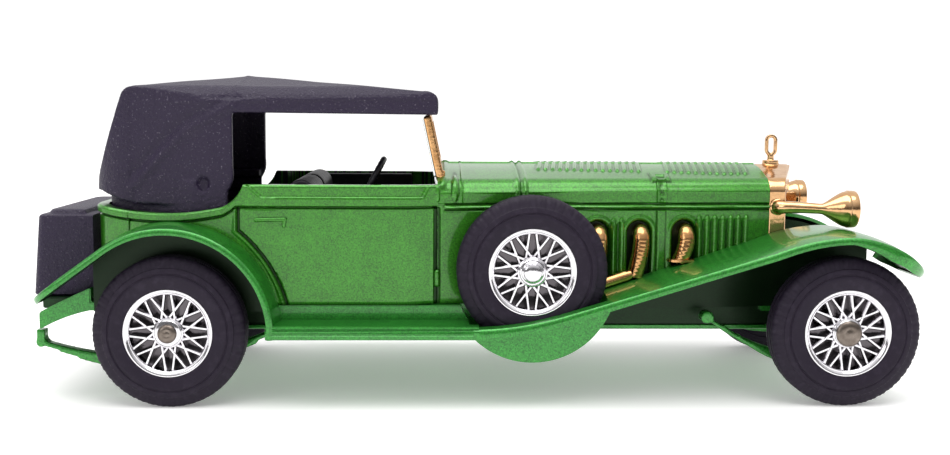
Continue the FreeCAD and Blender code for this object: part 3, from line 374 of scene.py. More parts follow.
def pushed(mesh, relief):
    """Moves each point along its normal by relief(x, y, z, normals), in millimetres."""
    count = len(mesh.vertices)
    points = np.empty(count * 3)
    normals = np.empty(count * 3)
    mesh.vertices.foreach_get("co", points)
    mesh.vertex_normals.foreach_get("vector", normals)
    points = points.reshape(-1, 3) * 1000
    normals = normals.reshape(-1, 3)
    lift = relief(points[:, 0], points[:, 1], points[:, 2], normals)
    points += normals * np.asarray(lift)[:, None]
    mesh.vertices.foreach_set("co", (points / 1000).ravel())
    mesh.update()
    return mesh


# ---- materials ------------------------------------------------------------------------------------------
def linear(code):
    """An sRGB hex colour as linear red, green and blue."""
    parts = [int(code[i:i + 2], 16) / 255 for i in (1, 3, 5)]
    return tuple(c / 12.92 if c <= 0.04045 else ((c + 0.055) / 1.055) ** 2.4 for c in parts)


def node(tree, kind, settings, links=()):
    """Adds a node, sets its inputs or properties and joins its inputs to other nodes' outputs."""
    made = tree.nodes.new(kind)
    for key, value in settings.items():
        if isinstance(key, int) or key in made.inputs:
            made.inputs[key].default_value = value
        else:
            setattr(made, key, value)
    for key, source in dict(links).items():
        tree.links.new(source, made.inputs[key])
    return made


def new_material(name):
    """An empty material, its output and the places that its patterns are drawn from."""
    material = bpy.data.materials.new(name)
    material.use_nodes = True
    tree = material.node_tree
    tree.nodes.clear()
    output = node(tree, "ShaderNodeOutputMaterial", {})
    places = node(tree, "ShaderNodeTexCoord", {}).outputs["Object"]
    return material, tree, output, places


def per_mm(size):
    """The scale that gives a pattern a size in millimetres on an object measured in metres."""
    return 1000 / size


def metallic_paint(name, light, deep, colours, gloss=0.62):
    """Metallic enamel sprayed on a zinc casting."""
    # To the eye: aluminium flakes that twinkle under a clear gloss, a drift in tone over a few millimetres,
    # the spray's fine orange peel, and painted shade: colour and gloss go dark in shut lines, grooves,
    # undersides and inner walls where shade falls, and in shut lines also where paint pools thicker. Real
    # flakes are a few hundredths of a millimetre across, too fine to show, so they are drawn as wide as the
    # "Paint flake" size.
    drift_mm, peel_mm = 2.5, 0.9
    material, tree, output, places = new_material(name)
    sizes = bpy.context.scene.tourer_sizes
    flakes = node(tree, "ShaderNodeTexVoronoi", {"Scale": per_mm(sizes.flake * 1000)}, {"Vector": places})
    cloud = node(tree, "ShaderNodeTexNoise", {"Scale": per_mm(drift_mm), "Detail": 3.0}, {"Vector": places})
    sparkle = node(tree, "ShaderNodeMapRange", {"To Min": 0.15, "To Max": 0.85},
                   {"Value": flakes.outputs["Color"]})
    drift = node(tree, "ShaderNodeMath", {"operation": "MULTIPLY_ADD", 1: 0.35, 2: -0.17},
                 {0: cloud.outputs["Fac"]})
    share = node(tree, "ShaderNodeMath", {"operation": "ADD", "use_clamp": True},
                 {0: sparkle.outputs[0], 1: drift.outputs[0]})
    tone = node(tree, "ShaderNodeMix", {"data_type": "RGBA", 6: (*deep, 1), 7: (*light, 1)},
                {0: share.outputs[0]})
    # Painted shade: the painted_shade attribute mixes in the dark hollow colour and takes the coat away.
    hollow_painted_shade = node(tree, "ShaderNodeAttribute", {"attribute_name": "painted_shade"})
    shade = node(tree, "ShaderNodeMix", {"data_type": "RGBA", 7: (*colours.hollow_painted_shade, 1)},
                 {0: hollow_painted_shade.outputs["Fac"], 6: tone.outputs[2]})
    peel = node(tree, "ShaderNodeTexNoise", {"Scale": per_mm(peel_mm), "Detail": 1.0}, {"Vector": places})
    height = node(tree, "ShaderNodeMath", {"operation": "MULTIPLY_ADD", 1: 0.25},
                  {0: flakes.outputs["Distance"], 2: peel.outputs["Fac"]})
    bump = node(tree, "ShaderNodeBump", {"Strength": 0.22, "Distance": 0.00003},
                {"Height": height.outputs[0]})
    coat = node(tree, "ShaderNodeMapRange", {"To Min": gloss, "To Max": 0.0},
                {"Value": hollow_painted_shade.outputs["Fac"]})
    shader = node(tree, "ShaderNodeBsdfPrincipled",
                  {"Metallic": 0.55, "Roughness": 0.36, "Coat Roughness": 0.09, "Coat IOR": 1.5},
                  {"Base Color": shade.outputs[2], "Normal": bump.outputs[0], "Coat Weight": coat.outputs[0]})
    tree.links.new(shader.outputs[0], output.inputs[0])
    return material


def plating(name, colour, worn, roughness, wave_mm):
    """Metal plated in a vacuum on moulded plastic."""
    # To the eye: a bright mirror that ripples faintly with the moulding under it, with slightly dull
    # patches where it has been handled, and painted shade, a dark brown grey, where it lies deep.
    patch_mm = 1.6
    material, tree, output, places = new_material(name)
    cloud = node(tree, "ShaderNodeTexNoise", {"Scale": per_mm(patch_mm), "Detail": 4.0}, {"Vector": places})
    tone = node(tree, "ShaderNodeMix", {"data_type": "RGBA", 6: (*colour, 1), 7: (*worn, 1)},
                {0: cloud.outputs["Fac"]})
    # Painted shade: deep places, such as the wheels' webs and the spokes' sides, are mixed towards a dark
    # colour.
    hollow_painted_shade = node(tree, "ShaderNodeAttribute", {"attribute_name": "painted_shade"})
    tone = node(tree, "ShaderNodeMix", {"data_type": "RGBA", 7: (*linear("#2E262B"), 1)},
                {0: hollow_painted_shade.outputs["Fac"], 6: tone.outputs[2]})
    rough = node(tree, "ShaderNodeMapRange", {"To Min": roughness * 0.6, "To Max": roughness * 1.5},
                 {"Value": cloud.outputs["Fac"]})
    ripple = node(tree, "ShaderNodeTexNoise", {"Scale": per_mm(wave_mm), "Detail": 2.0}, {"Vector": places})
    bump = node(tree, "ShaderNodeBump", {"Strength": 0.5, "Distance": 0.00004},
                {"Height": ripple.outputs["Fac"]})
    shader = node(tree, "ShaderNodeBsdfPrincipled", {"Metallic": 1.0},
                  {"Base Color": tone.outputs[2], "Roughness": rough.outputs[0], "Normal": bump.outputs[0]})
    tree.links.new(shader.outputs[0], output.inputs[0])
    return material


def grained_plastic(name, colour, light, grain_mm, depth_mm, roughness):
    """ABS moulded in a grained tool."""
    # To the eye: an even dark body with a pebbled leather grain, and pale specks painted into the colour as
    # glints of light. Such a grain is a fraction of this size on a toy, so it is drawn coarser than life, to
    # show.
    material, tree, output, places = new_material(name)
    pebble = node(tree, "ShaderNodeTexVoronoi", {"Scale": per_mm(grain_mm), "feature": "SMOOTH_F1"},
                  {"Vector": places})
    fine = node(tree, "ShaderNodeTexNoise", {"Scale": per_mm(grain_mm * 0.5), "Detail": 3.0},
                {"Vector": places})
    height = node(tree, "ShaderNodeMath", {"operation": "MULTIPLY_ADD", 1: -0.8},
                  {0: pebble.outputs["Distance"], 2: fine.outputs["Fac"]})
    # Painted glints: the noise's peaks are mixed towards the pale colour as specks of light.
    painted_glints = node(tree, "ShaderNodeMapRange", {"From Min": 0.62, "From Max": 0.85, "To Max": 0.5},
                  {"Value": fine.outputs["Fac"]})
    tone = node(tree, "ShaderNodeMix", {"data_type": "RGBA", 6: (*colour, 1), 7: (*light, 1)},
                {0: painted_glints.outputs[0]})
    bump = node(tree, "ShaderNodeBump", {"Strength": 0.8, "Distance": depth_mm / 1000},
                {"Height": height.outputs[0]})
    shader = node(tree, "ShaderNodeBsdfPrincipled",
                  {"Roughness": roughness, "IOR": 1.53, "Specular IOR Level": 0.32},
                  {"Base Color": tone.outputs[2], "Normal": bump.outputs[0]})
    tree.links.new(shader.outputs[0], output.inputs[0])
    return material


def vulcanised_rubber():
    """Rubber vulcanised in a mould."""
    # To the eye: a dull violet black with a faint dusty bloom in soft patches.
    colours = bpy.context.scene.tourer_colours
    material, tree, output, places = new_material("vulcanised_moulded_rubber")
    cloud = node(tree, "ShaderNodeTexNoise", {"Scale": per_mm(0.7), "Detail": 5.0}, {"Vector": places})
    bloom = node(tree, "ShaderNodeMapRange", {"From Min": 0.5, "From Max": 0.8, "To Max": 0.3},
                 {"Value": cloud.outputs["Fac"]})
    tone = node(tree, "ShaderNodeMix",
                {"data_type": "RGBA", 6: (*colours.rubber, 1), 7: (*linear("#3E3646"), 1)},
                {0: bloom.outputs[0]})
    bump = node(tree, "ShaderNodeBump", {"Strength": 0.4, "Distance": 0.00003},
                {"Height": cloud.outputs["Fac"]})
    shader = node(tree, "ShaderNodeBsdfPrincipled",
                  {"Roughness": 0.62, "IOR": 1.52, "Specular IOR Level": 0.28},
                  {"Base Color": tone.outputs[2], "Normal": bump.outputs[0]})
    tree.links.new(shader.outputs[0], output.inputs[0])
    return material


def drawn_steel():
    """Steel bar, drawn to size and spun over at its ends."""
    # To the eye: a grey metal, bright in places and duller in others, with small marks from the tools.
    material, tree, output, places = new_material("drawn_steel")
    lines = node(tree, "ShaderNodeTexNoise", {"Scale": per_mm(0.5), "Detail": 4.0}, {"Vector": places})
    tone = node(tree, "ShaderNodeMix",
                {"data_type": "RGBA", 6: (*linear("#8F857D"), 1), 7: (*linear("#574C44"), 1)},
                {0: lines.outputs["Fac"]})
    rough = node(tree, "ShaderNodeMapRange", {"To Min": 0.2, "To Max": 0.45}, {"Value": lines.outputs["Fac"]})
    bump = node(tree, "ShaderNodeBump", {"Strength": 0.5, "Distance": 0.00004},
                {"Height": lines.outputs["Fac"]})
    shader = node(tree, "ShaderNodeBsdfPrincipled", {"Metallic": 1.0},
                  {"Base Color": tone.outputs[2], "Roughness": rough.outputs[0], "Normal": bump.outputs[0]})
    tree.links.new(shader.outputs[0], output.inputs[0])
    return material


def clear_styrene():
    """Clear polystyrene, moulded as a thin pane."""
    # To the eye: nearly invisible, with faint waves where the plastic flowed into the mould.
    material, tree, output, places = new_material("moulded_clear_polystyrene")
    flow = node(tree, "ShaderNodeTexNoise", {"Scale": per_mm(6.0), "Detail": 2.0}, {"Vector": places})
    bump = node(tree, "ShaderNodeBump", {"Strength": 0.2, "Distance": 0.00005},
                {"Height": flow.outputs["Fac"]})
    shader = node(tree, "ShaderNodeBsdfPrincipled",
                  {"Base Color": (*linear("#F2F6F5"), 1), "Roughness": 0.03, "IOR": 1.59,
                   "Transmission Weight": 1.0}, {"Normal": bump.outputs[0]})
    tree.links.new(shader.outputs[0], output.inputs[0])
    return material


def studio_card():
    """A painted studio floor."""
    # To the eye: a soft matte white, faintly mottled. It gives off a little light, to stay pale all over.
    material, tree, output, places = new_material("painted_studio_floor")
    mottle = node(tree, "ShaderNodeTexNoise", {"Scale": per_mm(40.0), "Detail": 4.0}, {"Vector": places})
    tone = node(tree, "ShaderNodeMix",
                {"data_type": "RGBA", 6: (*linear("#F4F3F1"), 1), 7: (*linear("#F9F9F8"), 1)},
                {0: mottle.outputs["Fac"]})
    shader = node(tree, "ShaderNodeBsdfPrincipled",
                  {"Roughness": 0.7, "Emission Color": (1, 1, 1, 1), "Emission Strength": 0.24},
                  {"Base Color": tone.outputs[2]})
    tree.links.new(shader.outputs[0], output.inputs[0])
    return material


FINISHES = {}


def finish(name):
    """Each finish is made once and shared."""
    colours = bpy.context.scene.tourer_colours
    makers = {
        # The body's yellower green, bright and glossy.
        "lime": lambda: metallic_paint(
            "sprayed_metallic_lime_enamel", colours.lime, colours.lime_deep, colours),
        # The bluer green of the wings and base.
        "emerald": lambda: metallic_paint(
            "sprayed_metallic_emerald_enamel", colours.emerald, colours.emerald_deep, colours),
        # The same green darkened nearly to black and nearly without gloss: painted shade for the insides of the
        # arches, the rails and the deck.
        "emerald_painted_shade": lambda: metallic_paint(
            "emerald_enamel_painted_shade", linear("#123D15"), linear("#071A08"), colours, gloss=0.05),
        # A pale warm mirror.
        "gold": lambda: plating(
            "vacuum_plated_gold", colours.gold, linear("#B98452"), roughness=0.13, wave_mm=0.8),
        # The same plating, browner and duller.
        "bronze": lambda: plating(
            "vacuum_plated_gold_worn", colours.bronze, linear("#A8733F"), roughness=0.2, wave_mm=0.5),
        # A neutral mirror, which leaves the spokes' edges crisp.
        "chrome": lambda: plating(
            "vacuum_plated_chrome", colours.chrome, linear("#C9C6CC"), roughness=0.13, wave_mm=0.7),
        # A violet black with a deep grain, like coated cloth, and pale painted glints.
        "hood": lambda: grained_plastic(
            "moulded_grained_abs", colours.hood, linear("#A79FB0"), grain_mm=0.42, depth_mm=0.16,
            roughness=0.46),
        # A plainer black with a soft sheen, hardly any grain and dim painted glints.
        "cabin": lambda: grained_plastic(
            "moulded_satin_abs", colours.cabin, linear("#4A4450"), grain_mm=0.9, depth_mm=0.03,
            roughness=0.42),
        "rubber": vulcanised_rubber,
        "steel": drawn_steel,
        "clear": clear_styrene,
        "floor": studio_card,
    }
    if name not in FINISHES:
        FINISHES[name] = makers[name]()
    return FINISHES[name]


# ---- body: tub ------------------------------------------------------------------------------------------
def rim_height(x):
    """The top edge of the tub beside x: a shallow dip round the rear seat, then up to the door."""
    dip = arc_points((X_TUB_REAR - 1.0, TUB_RIM + 1.05), (X_REAR - 0.6, TUB_RIM),
                     (X_DOOR_REAR - 2.4, TUB_RIM + 0.75), 40)
    lift = arc_points((X_DOOR_REAR - 2.4, TUB_RIM + 0.75), (X_DOOR_REAR - 0.9, TUB_RIM + 1.75),
                      (X_DOOR_REAR, BELT), 24)
    line = np.array(dip + lift[1:])
    order = np.argsort(line[:, 0])
    return np.interp(x, line[order, 0], line[order, 1])


def tub_path():
    """The tub's wall in plan, from the right of the scuttle round the tail to the left."""
    rear = X_TUB_REAR
    right = [(X_COWL + 0.35, -COWL_HALF + 0.12), (X_COWL - 3.0, -BODY_HALF), (X_REAR + 2.0, -BODY_HALF),
             (rear + 2.4, -TAIL_HALF - 0.5)]
    right += arc_points(right[-1], (rear + 0.72, -TAIL_HALF + 0.35), (rear, -TAIL_HALF + 2.4), 10)[1:]
    path = right + [(x, -y) for x, y in reversed(right)]
    return softened(resampled(path, 0.13), 9)


def door_shut_line():
    """The door's rear edge: upright under the belt, then swept forward over the wheel arch."""
    top = (X_DOOR_REAR - 0.55, HINGE + 0.15)
    bend = (X_DOOR_REAR - 0.55, HINGE - 2.5)
    return [top, bend] + arc_points(bend, (X_DOOR_REAR + 2.8, HINGE - 6.3),
                                    (X_DOOR_REAR + 4.84, DECK - 0.1), 16)[1:]


def tub_relief(x, y, z, top):
    """How far the tub's skin stands out, and how much painted shade it takes: belt band, panel, grooves and
    beads, with shade painted into the belt groove, the shut lines and the foot.
    """
    sizes = bpy.context.scene.tourer_sizes
    flank = smooth(10.4, 11.0, np.abs(y))
    crease = np.minimum(top - 0.95, HINGE + 0.15)
    proud = sizes.belt_band * 1000
    lift = proud * smooth(crease + 0.02, crease + 0.18, z)
    groove = ridge(z, crease - 0.06, 0.3)
    lift -= 0.2 * groove
    step = BELT - 1.42
    panel = smooth(step - 0.07, step + 0.09, z)
    panel *= smooth(0, 0.25, x - (X_DOOR_REAR + 1.95 - 1.15 * (z - step)))
    panel *= smooth(0, 0.25, (X_COWL - 1.6 + 0.5 * (z - step)) - x) * flank
    lift -= (proud - 0.04) * panel
    lift -= 0.2 * smooth(top - 0.3, top, z) ** 2
    # The second value is painted shade: grooves, shut lines and the foot are darkened where shade falls.
    hollow_painted_shade = 0.8 * groove ** 2
    away = distance_to_line(x, z, door_shut_line())
    below = (1 - smooth(crease - 0.1, crease + 0.02, z)) * flank
    shut = band(away, -0.17, 0.17, 0.12) * below
    lift -= 0.26 * shut
    lift += 0.16 * ridge(away, -0.42, 0.4) * below
    hollow_painted_shade = np.maximum(hollow_painted_shade, 0.9 * shut)
    front = band(x, X_COWL - 0.32, X_COWL + 1, 0.1) * below
    lift -= 0.24 * front
    lift += 0.1 * ridge(x, X_COWL - 0.55, 0.3) * below
    hollow_painted_shade = np.maximum(hollow_painted_shade, 0.85 * front)
    foot = 1 - smooth(DECK + 0.05, DECK + 0.3, z)
    lift -= 0.15 * foot * flank
    hollow_painted_shade = np.maximum(hollow_painted_shade, 0.7 * foot * flank)
    lift -= 0.4 * smooth(X_COWL + 0.02, X_COWL + 0.12, x)
    return lift, hollow_painted_shade


def build_tub(shell):
    """The tub's wall, with its outer and inner skins and the edges between them."""
    path = tub_path()
    out = -side_of(path)
    if out[len(out) // 2][0] > 0:
        out = -out
    shares = np.concatenate([np.linspace(0, HINGE - 0.7 - DECK, 62, endpoint=False),
                             np.linspace(HINGE - 0.7 - DECK, BELT - DECK, 40)]) / (BELT - DECK)
    x, y = path[:, 0], path[:, 1]
    top = np.where(x > X_DOOR_REAR, BELT, rim_height(x))
    arch = np.sqrt(np.clip((REAR_ARCH - 0.35) ** 2 - (x - X_REAR) ** 2, 0, None)) + AXLE
    low = np.where(np.abs(y) > WELL_INNER - GAP, np.maximum(DECK, arch), DECK)
    z = low[:, None] + (top - low)[:, None] * shares[None, :]
    xs, ys, tops = (np.repeat(v[:, None], len(shares), 1) for v in (x, y, top))
    lift, hollow_painted_shade = tub_relief(xs, ys, z, tops)
    outer = np.stack([xs + out[:, :1] * lift, ys + out[:, 1:] * lift, z], -1)
    inner_x, inner_y = x - out[:, 0] * WALL, y - out[:, 1] * WALL
    inner = np.stack([np.stack([inner_x, inner_y, low], -1), np.stack([inner_x, inner_y, top], -1)], 1)
    shell.grid(outer, painted_shade=hollow_painted_shade)
    # The inner skin takes full painted shade: the dark hollow colour with no gloss.
    shell.grid(inner, painted_shade=np.ones(inner.shape[:2]))
    shell.grid(np.stack([outer[:, 0], inner[:, 0]], 1), painted_shade=np.stack([hollow_painted_shade[:, 0], hollow_painted_shade[:, 0]], 1))
    shell.grid(np.stack([outer[:, -1], inner[:, -1]], 1))
    for end in (0, -1):
        ring = np.vstack([outer[end], inner[end][::-1]])
        shell.add(ring, [list(range(len(ring)))])


def capsule(shell, start, end, radius, flat=1.0):
    """A bar with domed ends; flat squeezes it across the car."""
    start, end = np.asarray(start, float), np.asarray(end, float)
    way = (end - start) / np.linalg.norm(end - start)
    turn = np.linspace(-math.pi / 2, 0, 7)
    ends = [start + way * (radius + radius * math.sin(t)) for t in turn]
    ends += [end - way * (radius - radius * math.sin(-t)) for t in turn[::-1]]
    radii = [max(radius * math.cos(t), 0.02) for t in turn]
    part = Shell()
    part.tube(ends, np.array(radii + radii[::-1]), 16)
    points = np.vstack(part.points)
    centre = start[1]
    points[:, 1] = centre + (points[:, 1] - centre) * flat
    shell.add(points, part.faces)


def build_door_furniture(shell):
    """Hinge knuckles, a pull-down handle and the round pads at the scuttle, on both doors."""
    side = Shell()
    for low, high in ((HINGE + 0.65, BELT - 0.12), (DECK + 1.95, DECK + 3.95)):
        capsule(side, (X_COWL - 0.02, -COWL_HALF - 0.1, low), (X_COWL - 0.02, -COWL_HALF - 0.1, high), 0.33)
    level = BELT - 3.95
    face = -BODY_HALF - 0.16
    capsule(side, (X_DOOR_REAR + 1.2, face, level), (X_DOOR_REAR + 4.9, face, level + 0.1), 0.24, 0.9)
    capsule(side, (X_DOOR_REAR + 4.62, face, level + 0.2), (X_DOOR_REAR + 4.5, face, level - 0.85), 0.22, 0.9)
    side.mirror()
    shell.add(np.vstack(side.points), side.faces)


# ---- body: scuttle and bonnet ---------------------------------------------------------------------------
def bonnet_half(x):
    """Half the width of the scuttle or bonnet at x."""
    return np.interp(x, [X_COWL, X_BONNET, X_RADIATOR], [COWL_HALF, BONNET_REAR_HALF, BONNET_FRONT_HALF])


def wing_top(x):
    """The front wing's top on its straight rise."""
    share = (x - X_RAMP) / (X_CREST_START - X_RAMP)
    return RAMP_FOOT + share * (CREST_SHOULDER - RAMP_FOOT)


def bonnet_section(half):
    """The right half of a section: upright side, round shoulder, slope and low ridge, as (y, z)."""
    bend = 1.6
    rise = 0.55 * (BONNET_TOP - SHOULDER)
    side = np.concatenate([np.linspace(DECK, PIPE_LEVEL - 1.4, 10, endpoint=False),
                           np.linspace(PIPE_LEVEL - 1.4, HINGE - 1.3, 28, endpoint=False),
                           np.linspace(HINGE - 1.3, SHOULDER, 36)])
    points = [(-half, z) for z in side]
    points += arc_points((-half, SHOULDER), (-half + 0.32 * bend, SHOULDER + 0.62 * rise),
                         (-half + bend, SHOULDER + rise), 12)[1:]
    slope = np.linspace(0, 1, 45)[1:]
    crown = 0.22 * np.sin(slope * math.pi)
    points += list(zip(-half + bend + slope * (half - bend - 0.5),
                       SHOULDER + rise + slope * (BONNET_TOP - SHOULDER - rise) + crown))
    points += [(-0.32, BONNET_TOP + 0.02), (-0.26, BONNET_TOP + 0.12), (-0.1, BONNET_TOP + 0.15)]
    return np.array(points)


def bonnet_relief(x, y, z):
    """How far the scuttle and bonnet stand out, and how much painted shade their seams, gaps, louvres, slots
    and pipe openings take.
    """
    sizes = bpy.context.scene.tourer_sizes
    low = z < SHOULDER + 0.2
    high = ~low
    lift = np.zeros(x.shape)
    # The second value is painted shade: seams, gaps, louvre hollows, strap holes, slots and pipe openings are
    # darkened.
    hollow_painted_shade = np.zeros(x.shape)

    seam = HINGE + 0.05 - 0.25 * np.clip((x - X_BONNET) / (X_RADIATOR - X_BONNET), 0, 1)
    after_lip = smooth(X_COWL + 0.75, X_COWL + 0.95, x)
    lift += 0.2 * ridge(z, seam, 0.36) * after_lip
    for centre, depth in ((seam + 0.36, 0.16), (seam - 0.3, 0.16)):
        line = ridge(z, centre, 0.26) * after_lip
        lift -= depth * line
        hollow_painted_shade = np.maximum(hollow_painted_shade, 0.75 * line)
    lift += 0.08 * band(z, seam + 0.5, SHOULDER + 0.02, 0.1)

    shoulder_line = ridge(z, SHOULDER + 0.12, 0.36) * smooth(X_COWL + 2.6, X_COWL + 2.9, x)
    lift += 0.1 * shoulder_line

    crossing = smooth(SHOULDER - 0.9, SHOULDER - 0.6, z)
    for centre in (X_BONNET - 0.42, X_BONNET + 0.5):
        lift += 0.17 * ridge(x, centre, 0.5) * crossing
    gap = ridge(x, X_BONNET + 0.04, 0.34) * crossing
    lift -= 0.12 * gap
    hollow_painted_shade = np.maximum(hollow_painted_shade, 0.5 * gap)

    lip = ridge(x, X_COWL + 0.45 + 0.5 * smooth(SHOULDER, BONNET_TOP, z), 0.9)
    lift += 0.2 * lip * smooth(SHOULDER + 0.3, SHOULDER + 0.9, z)
    oval = 1 - ((x - X_COWL - 2.0) / 0.42) ** 2 - ((z - SHOULDER - 0.42) / 1.4) ** 2
    lift += 0.3 * np.sqrt(np.clip(oval, 0, 1))
    hollow_painted_shade = np.maximum(hollow_painted_shade, 0.6 * band(oval, -0.5, -0.05, 0.2))
    edge = ridge(x, X_COWL + 2.75, 0.3) * smooth(HINGE + 0.4, HINGE + 0.7, z)
    lift += 0.09 * edge
    front = band(x, X_COWL - 1, X_COWL + 0.28, 0.1) * (1 - smooth(HINGE, HINGE + 0.15, z))
    lift -= 0.24 * front
    hollow_painted_shade = np.maximum(hollow_painted_shade, 0.85 * front)

    pitch = sizes.louvre_pitch * 1000
    start = X_BONNET + 2.9
    count = int((X_RADIATOR - X_BONNET - 3.9) / pitch)
    phase = (x - start + 0.12 * (np.abs(y) - 2)) / pitch
    number = np.clip(np.round(phase), 0, count - 1)
    across = np.abs(phase - number) * pitch
    rib = np.clip(1 - (across / 0.27) ** 2, 0, 1) ** 0.6
    clear_of_strap = np.abs(start + number * pitch - X_STRAP) > 1.3
    reach = np.minimum(6.3, bonnet_half(x) - 2.3)
    row = smooth(0.75, 0.95, np.abs(y)) * (1 - smooth(reach - 0.3, reach, np.abs(y))) * high * clear_of_strap
    lift += sizes.louvre_height * 1000 * rib * row
    between = (1 - smooth(0.0, 0.2, rib)) * row * (across < 0.6)
    hollow_painted_shade = np.maximum(hollow_painted_shade, 0.45 * between)

    buckle_z = SHOULDER + 1.45
    strap = band(x, X_STRAP - 0.6, X_STRAP + 0.6, 0.1) * band(z, seam + 0.5, buckle_z, 0.12)
    strap_edges = ridge(np.abs(x - X_STRAP), 0.5, 0.24) * strap
    lift += 0.1 * strap + 0.1 * strap_edges
    holes = band(x, X_STRAP - 0.16, X_STRAP + 0.16, 0.08) * band((z * 1.25) % 1, 0.3, 0.7, 0.2) * strap
    lift -= 0.12 * holes
    hollow_painted_shade = np.maximum(hollow_painted_shade, 0.5 * holes)
    frame_out = np.maximum(np.abs(x - X_STRAP) / 1.1, np.abs(z - buckle_z) / 0.42)
    buckle = band(frame_out, 0.45, 1.0, 0.12)
    lift += 0.24 * buckle
    hollow_painted_shade = np.maximum(hollow_painted_shade, 0.6 * band(frame_out, 1.0, 1.2, 0.1))
    hollow_painted_shade = np.maximum(hollow_painted_shade, 0.5 * (1 - smooth(0.3, 0.45, frame_out)))

    side_band = band(x, X_STRAP - 0.45, X_STRAP + 0.45, 0.1) * (1 - smooth(seam - 0.5, seam - 0.4, z))
    lift += 0.12 * side_band
    for centre in (X_STRAP - 0.58, X_STRAP + 0.58):
        line = ridge(x, centre, 0.24) * (1 - smooth(seam - 0.5, seam - 0.4, z))
        lift -= 0.08 * line
        hollow_painted_shade = np.maximum(hollow_painted_shade, 0.55 * line)

    for first, number_of, top in ((X_FRONT - 15.2, 7, HINGE - 1.05), (X_FRONT - 25.5, 2, HINGE - 1.3)):
        for i in range(number_of):
            centre = first + 0.96 * i
            reach = 1 - smooth(top - 0.35, top, z + 1.2 * np.abs(x - centre))
            lift += 0.26 * np.clip(1 - ((x - centre) / 0.27) ** 2, 0, 1) ** 0.6 * reach * low
            slot = ridge(x, centre - 0.42, 0.34) * reach * low
            lift -= 0.16 * slot
            hollow_painted_shade = np.maximum(hollow_painted_shade, 0.6 * slot)

    right = y < 0
    for centre in PIPE_STATIONS:
        away = np.where(z < PIPE_LEVEL, np.abs(x - centre), np.hypot(x - centre, z - PIPE_LEVEL)) - 1.5
        inside = (1 - smooth(-0.22, 0.02, away)) * low * right
        lift = lift * (1 - inside) - 0.62 * inside
        lift += 0.1 * ridge(away, 0.28, 0.5) * low * right * (1 - inside)
        hollow_painted_shade = np.maximum(hollow_painted_shade, inside)
    lift -= 0.12 * (1 - smooth(DECK + 0.05, DECK + 0.3, z)) * low
    return lift, np.clip(hollow_painted_shade, 0, 1)


def build_bonnet(shell):
    """The scuttle and bonnet: sections from front to back, their relief and a plain inner skin."""
    first_louvre, last_column = X_BONNET + 2.5, X_RADIATOR - 1.2
    columns = np.concatenate([np.arange(X_COWL, first_louvre, 0.13),
                              np.arange(first_louvre, last_column, 0.1075),
                              np.linspace(last_column, X_RADIATOR, 6)])
    skin = []
    for x in columns:
        half = bonnet_section(bonnet_half(x))
        full = np.vstack([half, [(0, BONNET_TOP + 0.15)], half[::-1] * (-1, 1)])
        skin.append(np.column_stack([np.full(len(full), x), full]))
    skin = np.array(skin)
    normals = np.cross(np.gradient(skin, axis=0), np.gradient(skin, axis=1))
    normals /= np.linalg.norm(normals, axis=2)[:, :, None]
    if normals[0, 5, 1] > 0:
        normals = -normals
    lift, hollow_painted_shade = bonnet_relief(skin[:, :, 0], skin[:, :, 1], skin[:, :, 2])
    outer = skin + normals * lift[:, :, None]
    outer[:, :, 0] = np.clip(outer[:, :, 0], X_COWL, X_RADIATOR)
    rows = outer.shape[1]
    picks = sorted(set(range(0, rows, 6)) | {rows - 1})
    inner = (skin - normals * WALL)[:, picks]
    inner[:, :, 0] = skin[:, picks][:, :, 0]
    inner[:, 0, 2] = DECK
    inner[:, -1, 2] = DECK
    shell.grid(outer, painted_shade=hollow_painted_shade)
    shell.grid(inner)
    for edge in (0, -1):
        shell.grid(np.stack([outer[:, edge], inner[:, edge]], 1))
    for end in (0, -1):
        ring = np.vstack([outer[end], inner[end][::-1]])
        shell.add(ring, [list(range(len(ring)))])


def build_rivets(shell):
    """The posts that hold the body to the base, each spun over below in a stepped head."""
    for x in (X_TUB_REAR + 3.0, X_RADIATOR - 4.0):
        for radius, low, high, bevel in (
                (1.3, BASE_TOP - 0.55, TUB_RIM - 4, 0.05), (1.5, BASE_TOP - 0.5, BASE_TOP - 0.1, 0),
                (1.75, BASE_TOP - 0.4, BASE_TOP - 0.1, 0), (1.8, BASE_TOP - 0.25, BASE_TOP - 0.1, 0),
                (1.8, BASE_TOP - 0.15, BASE_TOP - 0.1, 0)):
            ring = round_points(0, 0, radius, 0, 360, 40)[:-1]
            shell.prism([(x + a, b) for a, b in ring], "xy", low, high, bevel)


# ---- chassis and wings ----------------------------------------------------------------------------------
def front_wing_line():
    """The front wing's crown in side view, from the running board to its tip."""
    crest_x = X_FRONT - 0.2
    line = arc_points((X_BOARD_END, BOARD), ((X_BOARD_END + X_RAMP) / 2, BOARD + 0.35), (X_RAMP, RAMP_FOOT), 12)
    line += arc_points((X_CREST_START, CREST_SHOULDER), ((X_CREST_START + crest_x) / 2 + 0.2, CREST - 0.42),
                       (crest_x, CREST), 14)
    line += arc_points((crest_x, CREST), (crest_x + 5.3, CREST - 1.3), (X_TIP, CREST - 4.6), 24)[1:]
    return line


def rear_wing_line():
    """The rear wing's crown in side view, from its foot over the wheel to its tail."""
    line = [(X_REAR + REAR_ARCH, BOARD - BOARD_THICKNESS)]
    line += round_points(X_REAR, AXLE, REAR_ARCH, 0, ARCH_TURN, 60)
    run = line[-1][0] - X_TAIL
    line.append((X_TAIL, line[-1][1] - run * math.tan(math.radians(ARCH_TURN - 90))))
    return line


